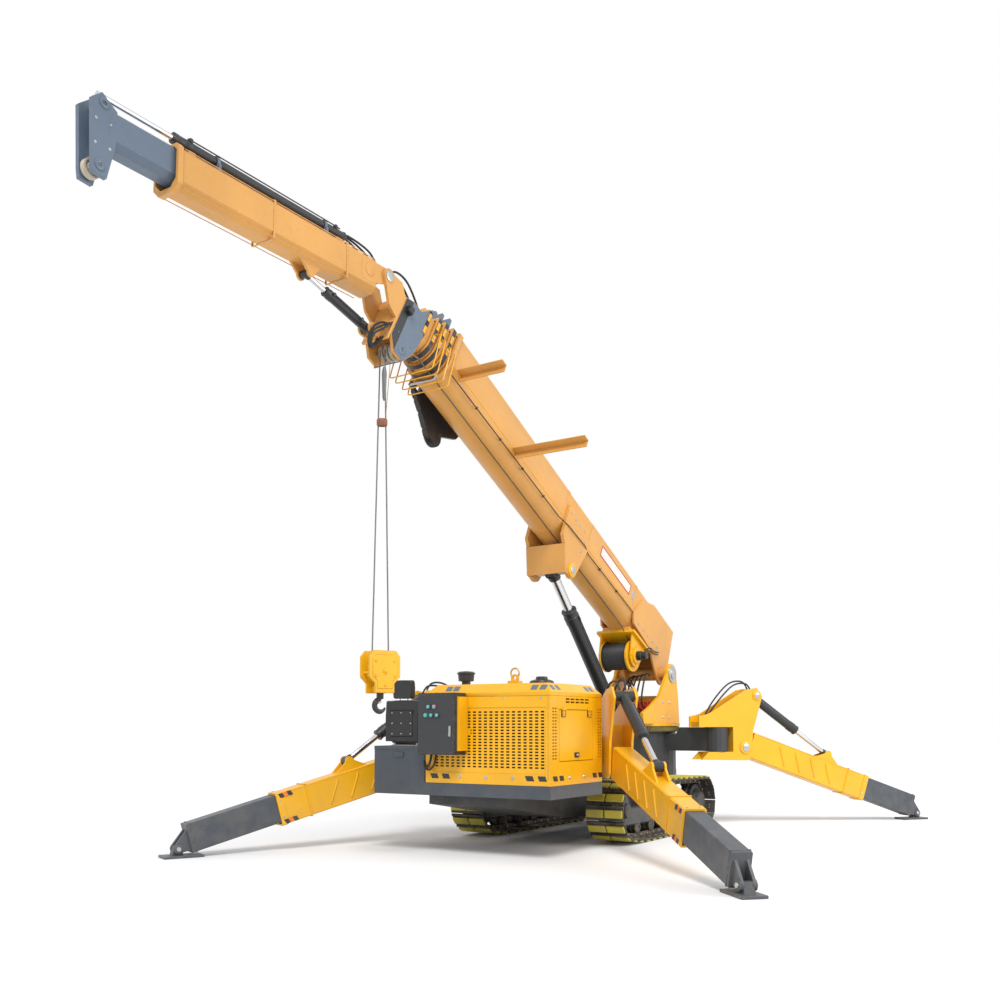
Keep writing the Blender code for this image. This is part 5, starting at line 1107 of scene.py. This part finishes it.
def boom_side():
    """The blank sign and plate, the line with its clips, the mouth's rope guards and the carrier."""
    half = BOOM_WIDTH / 2
    x = half + 0.003
    sign, border, plate, line, clips = (Shape(BOOM) for _ in range(5))
    sign.box((x, x + 0.0015), (1.30, 2.16), (0.47, 0.59), 0.0005).done("boom_sign", "boom", "white")
    for f, up in (((1.285, 1.30), (0.455, 0.605)), ((2.16, 2.175), (0.455, 0.605)),
                  ((1.30, 2.16), (0.455, 0.47)), ((1.30, 2.16), (0.59, 0.605))):
        border.box((x, x + 0.0022), f, up, 0.0005)
    border.done("boom_sign_border", "boom", "red")
    plate.box((x, x + 0.002), (1.15, 1.22), (0.46, 0.57), 0.0006).done("boom_plate", "boom", "zinc")
    near = half + 0.016
    line.tube([(near, 1.0, 0.30), (near, 1.15, 0.30), (near, 2.45, 0.27), (0.282, 2.60, 0.27),
               (0.282, 3.05, 0.25), (near, 3.22, 0.25), (near - 0.002, 4.4, 0.235),
               (near - 0.002, 5.60, 0.22)], 0.006)
    line.done("boom_side_line", "boom", "rubber")
    for f, up in ((1.6, 0.29), (2.1, 0.28), (3.6, 0.246), (4.1, 0.239), (4.6, 0.232), (5.1, 0.226)):
        clips.box((half + 0.002, half + 0.026), (f, f + 0.02), (up - 0.014, up + 0.014), 0.003)
    clips.done("boom_line_clips", "boom", "black")
    mouths = (("boom", 5.675), ("boom_2", 5.768), ("boom_3", 5.877), ("boom_4", 5.965))
    for index, (body, f) in enumerate(mouths):
        out = 0.262 + 0.005 * index
        low = 0.050 - 0.012 * index
        bend = [(0.262 - BOOM_STEP / 2 * index, f, 0.44), (out, f - 0.002, 0.42),
                (out, f - 0.055, low + 0.035), (out - 0.006, f - 0.058, low + 0.010),
                (out - 0.035, f - 0.060, low)]
        hoop = Shape(BOOM).tube(bend + [(-side, f_at, up) for side, f_at, up in reversed(bend)], 0.007)
        hoop.done("rope_guard_%d" % (index + 1), body, "amber")

    chain = Shape(BOOM)
    loop = (5.055, 0.015)
    path = [(4.98, 0.10)] + arc(loop, 0.107, 150.0, 320.0, 16) + [(5.33, 0.10), (5.50, 0.20), (5.58, 0.262)]
    links = smooth_path(path, 3)[::2]
    for (f0, u0), (f1, u1) in zip(links, links[1:]):
        spot = Matrix.Translation((-half - 0.08, -(f0 + f1) / 2, (u0 + u1) / 2))
        spot = spot @ Matrix.Rotation(math.atan2(u1 - u0, -(f1 - f0)), 4, "X")
        length = math.hypot(f1 - f0, u1 - u0)
        chain.block(spot, (0.058, length * 0.86, 0.054), 0.006)
        chain.block(spot, (0.048, length * 1.04, 0.040), 0.004)
    chain.box((-half - 0.06, -half - 0.001), (5.54, 5.60), (0.24, 0.33), 0.004)
    chain.plate(arc(loop, 0.112, 150.0, 320.0, 16) + [(5.32, 0.09), (5.46, 0.18), (5.46, 0.40), (4.66, 0.40),
                                                      (4.72, 0.24)], "x", -half - 0.100, -half - 0.060)
    chain.done("cable_carrier", "boom", "black", ("drag_chain",))


def sections():
    """Bolts, bands, blocks and a fin on each section's mouth, and the hoist rope's run below the boom."""
    for number, (collar, top) in enumerate(zip(COLLARS, FIN_TOPS), start=2):
        body = "boom_%d" % number
        name = "section_%d_" % number
        narrower = BOOM_STEP * (number - 1)
        half = BOOM_WIDTH / 2 - narrower / 2 + COLLAR_RIM
        grown = COLLAR_RIM - narrower / 2
        root = BOOM_TOP + grown
        along_mouth = (collar + 0.007, collar + 0.048)
        bolts, band, blocks = (Shape(BOOM) for _ in range(3))
        bolts.side_heads(half + 0.0085, [(collar + 0.027, up) for up in (0.385, 0.55)], 0.008)
        bolts.done(name + "bolts", body, "zinc")
        skin(band, collar + 0.003, collar + 0.052, grown + 0.0025, grown + 0.0004)
        band.done(name + "band", body, "black", sharp=50.0)
        for side in BOTH:
            for span in ((0.34, 0.43), (0.50, 0.60)):
                blocks.box((side * (half - 0.001), side * (half + 0.009)), along_mouth, span, 0.004)
            blocks.box((side * 0.03, side * 0.12), along_mouth, (root + 0.001, root + 0.011), 0.004)
        blocks.done(name + "blocks", body, "amber")
        if number < 5:
            fin_half = (BOOM_WIDTH - narrower) / 2 * 0.45 + 0.002
            fin = Shape(BOOM)
            fin.plate([(collar - 0.002, root), (collar + 0.057, root), (collar + 0.045, top + 0.002),
                       (collar + 0.010, top + 0.002)], "x", -fin_half, fin_half)
            fin.done(name + "fin", body, "blue_grey")
    rope_x, rope_up = 0.13, 0.094
    # body, points of its stretch of rope
    runs = (("boom", [(rope_x, 0.76, 0.015), (rope_x, 1.15, rope_up), (rope_x, 5.76, rope_up)]),
            ("boom_2", [(rope_x, 1.2, rope_up), (rope_x, 5.85, rope_up)]),
            ("boom_3", [(rope_x, 1.3, rope_up), (rope_x, 5.94, rope_up)]),
            ("boom_4", [(rope_x, 1.4, rope_up), (rope_x, 6.0, rope_up)]),
            ("boom_5", [(rope_x, 1.5, rope_up), (rope_x, 6.0, rope_up),
                        (0.09, SHEAVE_AT[0], SHEAVE_AT[1] + 0.090)]))
    for body, points in runs:
        Shape(BOOM).tube(points, ROPE_RADIUS * 0.9).done("hoist_line_" + body, body, "rope")
    roller = Shape(BOOM).spool([(0.16, 0.012)], (0, 5.725, 0.070), 16)
    for side in BOTH:
        roller.box((side * 0.155, side * 0.165), (5.705, 5.745), (0.055, 0.14))
    roller.done("rope_roller", "boom", "zinc")


# Boom head, jib and hook

def boom_head():
    """Blue-grey cladding, bolts, the turned rope wheels and the hoses round the jib's foot."""
    wheels, pin, bosses, dark, guard, knuckle, hoses, lamp = (Shape(BOOM) for _ in range(8))
    grooved = [(0.0165, 0.026), (0.0165, 0.045), (0.010, 0.050), (0.008, 0.070), (0.0165, 0.078),
               (0.0165, 0.0945), (0.013, 0.0945), (0.006, 0.0835), (0.0, 0.0815)]
    for x in (-0.03, 0.03, 0.09):
        wheels.spool(grooved, (x, *SHEAVE_AT), 40, ring=True)
    wheels.done("head_rope_wheels", "boom_5", "nylon", ("head_sheaves",))
    pin.spool([(0.176, 0.022), (0.172, 0.027)], (0, *SHEAVE_AT), 24)
    pin.spool([(0.172, 0.030), (0.168, 0.034)], (0, *LUFF_PIN), 24)
    pin.spool([(0.079, 0.020)], (0, 6.602, -0.084), 20)
    pin.done("head_pins", "boom_5", "zinc")
    face = 0.167
    bosses.bosses([(face - 0.001, 0.055), (face + 0.007, 0.055), (face + 0.009, 0.050)], SHEAVE_AT, 28)
    bosses.pair([(6.085, 0.672), (6.212, 0.505), (6.345, 0.500), (6.345, -0.154), (6.202, -0.154),
                 (6.126, 0.0), (6.085, 0.20)], face - 0.001, face + 0.003)
    bosses.side_heads(face, ((6.17, 0.06), (6.17, 0.40), (6.38, 0.06), (6.38, 0.40)), 0.009)
    bosses.done("head_bosses", "boom_5", "blue_grey")
    dark.pair([(6.347, 0.500), (6.446, 0.456), (6.446, -0.026), (6.347, -0.146)], face - 0.001, face + 0.0015)
    dark.done("head_dark_plates", "boom_5", "black")
    guard.hose([(0.16, 6.20, -0.13), (0.155, 6.22, -0.175), (0.0, 6.23, -0.182), (-0.155, 6.22, -0.175),
                (-0.16, 6.20, -0.13)], 0.007)
    guard.done("head_rope_guard", "boom_5", "blue_grey")
    knuckle.heads([(x, 6.4753, up) for x in (-0.120, 0.120) for up in (-0.05, 0.08, 0.21, 0.34)], "f", 0.010)
    knuckle.bosses([(0.1615, 0.055), (0.168, 0.055), (0.170, 0.050)], LUFF_PIN, 28)
    knuckle.done("knuckle_bolts", "boom_5", "zinc")
    for index in range(4):
        x = -0.075 + 0.05 * index
        sag = 0.03 * (index % 2)
        hoses.hose([(x, 6.10, 0.52), (x, 6.26, 0.60 + sag), (x * 1.1, 6.46, 0.66 + sag),
                    (x * 1.1, 6.62, 0.62 + sag), (x, 6.70, 0.55)], 0.011)
    for index in range(3):
        x = 0.085 + 0.03 * index
        sag = 0.05 * index
        hoses.hose([(x, 6.47, 0.10), (x + 0.02, 6.56, 0.02 - sag), (x + 0.015, 6.62, -0.10 - sag),
                    (x - 0.01, 6.60, -0.22 - sag * 0.6), (x - 0.03, 6.52, -0.26), (x - 0.04, 6.475, -0.08)],
                   0.011)
    hoses.done("head_hoses", "boom_5", "rubber")
    lamp.box((0.167, 0.215), (6.33, 6.40), (0.32, 0.40), 0.006).done("head_box", "boom_5", "black")


def jib():
    half, low, top = JIB_HALF, JIB_LOW, JIB_TOP
    axis = (0, 0, JIB_CYLINDER_UP)
    seams, bolts, barrel, pipe, clamps, hoses = (Shape(JIB) for _ in range(6))
    for x in (-half, half):
        for up in (low + 0.010, top - 0.010):
            seams.tube([(x, f, up) for f in (0.18, 1.2, 2.40)], 0.004, 6)
    for f in (0.55, 1.45):
        seams.frame_band(half, (f, f + 0.022), (low, top), 0.004)
    seams.bosses([(0.129, 0.062), (0.1345, 0.062), (0.137, 0.056)], (0.25, -0.02), 28)
    # The seams take the paler amber copy, whose paleness is painted sheen.
    seams.done("jib_seams", "jib", "amber_sheen_painted")
    bolts.side_heads(half + 0.007, [(2.445, up) for up in (-0.16, -0.055, 0.05)], 0.008)
    bolts.heads([(x, 2.445, top + 0.007) for x in (-0.07, 0.07)], "z", 0.008)
    bolts.done("jib_bolts", "jib", "zinc")
    barrel.lathe([(0.50, 0.010), (0.50, 0.040), (0.53, 0.042), (2.24, 0.042), (2.25, 0.0455), (2.30, 0.0455),
                  (2.305, 0.043), (2.38, 0.043), (2.385, 0.0455), (2.42, 0.0455), (2.42, 0.024),
                  (2.37, 0.024), (2.37, 0.010)], axis, "f", 32, ring=True)
    barrel.spool([(0.03, 0.038)], (0, 0.50, JIB_CYLINDER_UP), 24)
    barrel.done("jib_cylinder", "jib", "black", ("jib_tele_barrel",))
    pipe.hose([(0.03, 0.62, 0.262), (0.034, 0.70, 0.268), (0.034, 2.15, 0.268), (0.03, 2.27, 0.262)],
              0.006, steps=5)
    for f in (0.62, 2.27):
        pipe.box((0.012, 0.046), (f - 0.016, f + 0.016), (0.248, 0.280), 0.003)
    pipe.done("jib_cylinder_pipe", "jib", "black")
    for f in (0.74, 1.98):
        clamps.lathe([(f, 0.0425), (f, 0.050), (f + 0.03, 0.050), (f + 0.03, 0.0425)], axis, "f", 28,
                     ring=True)
        clamps.box((-0.062, 0.062), (f, f + 0.03), (0.111, 0.198), 0.003)
    clamps.done("jib_cylinder_clamps", "jib", "blue_grey")
    rod = Shape(JIB).lathe([(2.25, 0.022), (3.09, 0.022)], axis, "f", 24)
    rod.done("jib_piston", "jib_extension", "chrome", ("jib_tele_rod",))
    for index in range(3):
        x = -0.045 + 0.045 * index
        hoses.hose([(x, 0.04, 0.09), (x, 0.16, 0.17 + 0.012 * index), (x * 0.9, 0.32, 0.23),
                    (x * 0.6, 0.46, 0.245)], 0.010)
    hoses.done("jib_hoses", "jib", "rubber")


def jib_head():
    wheel, pins, bosses = (Shape(JIB) for _ in range(3))
    cylinder_pin = (3.09, 0.12)
    wheel.spool([(0.0245, 0.020), (0.0245, 0.040), (0.012, 0.044), (0.012, 0.056), (0.0245, 0.060),
                 (0.0245, 0.0745), (0.018, 0.0745), (0.008, 0.064), (0.0, 0.062)],
                (0, *JIB_SHEAVE_AT), 36, ring=True)
    wheel.done("jib_rope_wheel", "jib_extension", "nylon", ("jib_tip_sheave",))
    for place in (JIB_SHEAVE_AT, cylinder_pin):
        pins.spool([(0.106, 0.020), (0.102, 0.024)], (0, *place), 20)
        bosses.bosses([(0.098, 0.042), (0.104, 0.042), (0.106, 0.038)], place, 24)
    pins.side_heads(0.099, ((3.03, -0.02), (3.15, -0.02), (3.03, -0.20), (3.15, -0.20)), 0.008)
    pins.done("jib_head_pins", "jib_extension", "zinc")
    bosses.done("jib_head_bosses", "jib_extension", "blue_grey")


def falls():
    """The two falls of laid rope, their end weight and socket."""
    ahead, low = FALLS_AHEAD, FALLS_END
    ropes, weight, socket = (Shape(SWING) for _ in range(3))
    steps = 180
    for side in BOTH:
        foot = BLOCK_TURN @ Vector((0.0, side * 0.090, 0.0))
        for strand in range(6):
            points = []
            for step in range(steps + 1):
                share = step / steps
                angle = math.radians(61.0) * step + 2 * math.pi * strand / 6
                points.append((side * 0.03 + (foot.x - side * 0.03) * share + 0.0045 * math.cos(angle),
                               ahead - foot.y * share + 0.0045 * math.sin(angle), low * share))
            ropes.tube(points, 0.0033, 5)
    bight = [BLOCK_TURN @ Vector((0.0, y, low)) for y in (-0.092, 0.092)]
    ropes.rod(*((spot.x, ahead - spot.y, spot.z) for spot in bight), 0.008, 10)
    piece = ropes.done("hoist_falls", "hook_swing", "rope", ("hoist_rope",))
    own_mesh(piece)

    weight.lathe([(-0.745, 0.024), (-0.745, 0.046), (-0.735, 0.052), (-0.690, 0.052), (-0.680, 0.046),
                  (-0.680, 0.024)], (0, ahead, 0), "z", 28, ring=True)
    weight.rod((0.05, ahead, -0.62), (0.10, ahead, -0.12), 0.003, 6)
    weight.done("end_weight", "hook_swing", "brown")
    socket.lathe([(-0.50, 0.009), (-0.47, 0.017), (-0.24, 0.024), (-0.20, 0.020), (-0.17, 0.011)],
                 (0.024, ahead, 0), "z", 16)
    socket.done("rope_socket", "hook_swing", "rope")


def hook_block():
    """The block's cheeks, its rope wheel and bolts."""
    half, low, thick = BLOCK_HALF, BLOCK_LOW, BLOCK_THICK
    neck = half * 0.62
    right = [(neck, low), (neck, low * 0.78), (half, low * 0.62), (half, low * 0.14), (half * 0.72, 0.0)]
    cheek = [(-u, v) for u, v in reversed(right)] + right
    cheeks, wheel, screws = (Shape(BLOCK) for _ in range(3))
    for side in BOTH:
        cheeks.plate(cheek, "f", *sorted((side * (thick - 0.025), side * (thick - 0.001))))
        cheeks.plate([(u * 0.8, v * 0.8 - 0.04) for u, v in cheek], "f",
                     *sorted((side * (thick - 0.003), side * (thick + 0.003))))
    for u in (-half * 0.8, half * 0.8):
        cheeks.lathe([(-0.072, 0.012), (0.072, 0.012)], (u, 0, low * 0.52), "f", 16)
    cheeks.box((-0.055, 0.055), (-0.0745, 0.0745), (low, low + 0.07), 0.004)
    edges = [edge for edge in cheeks.mesh.edges if edge.calc_length() > 0.05]
    bmesh.ops.bevel(cheeks.mesh, geom=edges, offset=0.0022, segments=2, affect="EDGES", clamp_overlap=True)
    cheeks.done("block_cheeks", "hook", "amber", ("hook_block",))
    groove = [(0.070, 0.020), (0.070, 0.066), (0.062, 0.070), (0.012, 0.070), (0.006, 0.062)]
    wheel.lathe([(-v, radius) for v, radius in groove] + [(0.0, 0.0605)] + groove[::-1],
                (0, 0, BLOCK_SHEAVE_UP), "f", 36, ring=True)
    wheel.done("block_rope_wheel", "hook", "nylon")
    for side in BOTH:
        face = side * (thick + 0.003)
        spots = ((-0.10, -0.10), (0.10, -0.10), (-0.10, -0.24), (0.10, -0.24), (0.0, -0.33))
        screws.heads([(u, face, v) for u, v in spots], "f", 0.010, side)
        screws.lathe([(face, 0.022), (face + side * 0.008, 0.022), (face + side * 0.010, 0.018)],
                     (0, 0, BLOCK_SHEAVE_UP), "f", 28)
        screws.heads([(0, face + side * 0.010, BLOCK_SHEAVE_UP)], "f", 0.010, side)
    screws.done("block_bolts", "hook", "amber")


def hook():
    """The forged hook, whose bar is thickest at the bend, and its latch."""
    forged, latch = Shape(BLOCK), Shape(BLOCK)
    low, bend, sides = BLOCK_LOW, 0.058, 16
    start = low - 0.06
    curl = [(0.0, low - 0.005), (0.0, start + 0.02)]
    curl += [(-bend * math.sin(math.radians(a)), start - bend + bend * math.cos(math.radians(a)))
             for a in range(10, 251, 12)]
    rings = []
    last = len(curl) - 1
    for index, (u, v) in enumerate(curl):
        share = index / last
        thickness = 0.021 + 0.006 * math.sin(math.pi * min(1.0, share * 1.15))
        thickness -= 0.048 * max(0.0, share - 0.75)
        before, after = curl[max(index - 1, 0)], curl[min(index + 1, last)]
        slope = math.atan2(after[1] - before[1], after[0] - before[0])
        section = circle((0, 0), sides, thickness)
        rings.append([forged.vert(u - math.sin(slope) * out, -side * 0.85, v + math.cos(slope) * out)
                      for out, side in section])
    forged.join(rings)
    forged.lathe([(low - 0.0005, 0.030), (low - 0.004, 0.034), (low - 0.050, 0.034), (low - 0.058, 0.026)],
                 (0, 0, 0), "z", 28)
    forged.done("forged_hook", "hook", "black", ("hook",))
    latch.rod((0.016, 0, start - 0.022), (-0.052, 0, start - 0.055), 0.005, 8)
    latch.done("hook_latch", "hook", "zinc")


bpy.context.scene.view_settings.view_transform = "Standard"
camera()
lights()
floor()
paint_frame()
for make in (hood, grille, hood_fittings, cabinet, deck, seat):
    make()
for side, sign in (("left", -1), ("right", 1)):
    track(side, sign)
cylinders()
for leg_name, (leg_length, front_one) in LEGS.items():
    outrigger(leg_name, leg_length)
    bracket(leg_name, front_one)
for make in (turntable, winch, boom, boom_side, sections, boom_head, jib, jib_head, falls, hook_block, hook):
    make()
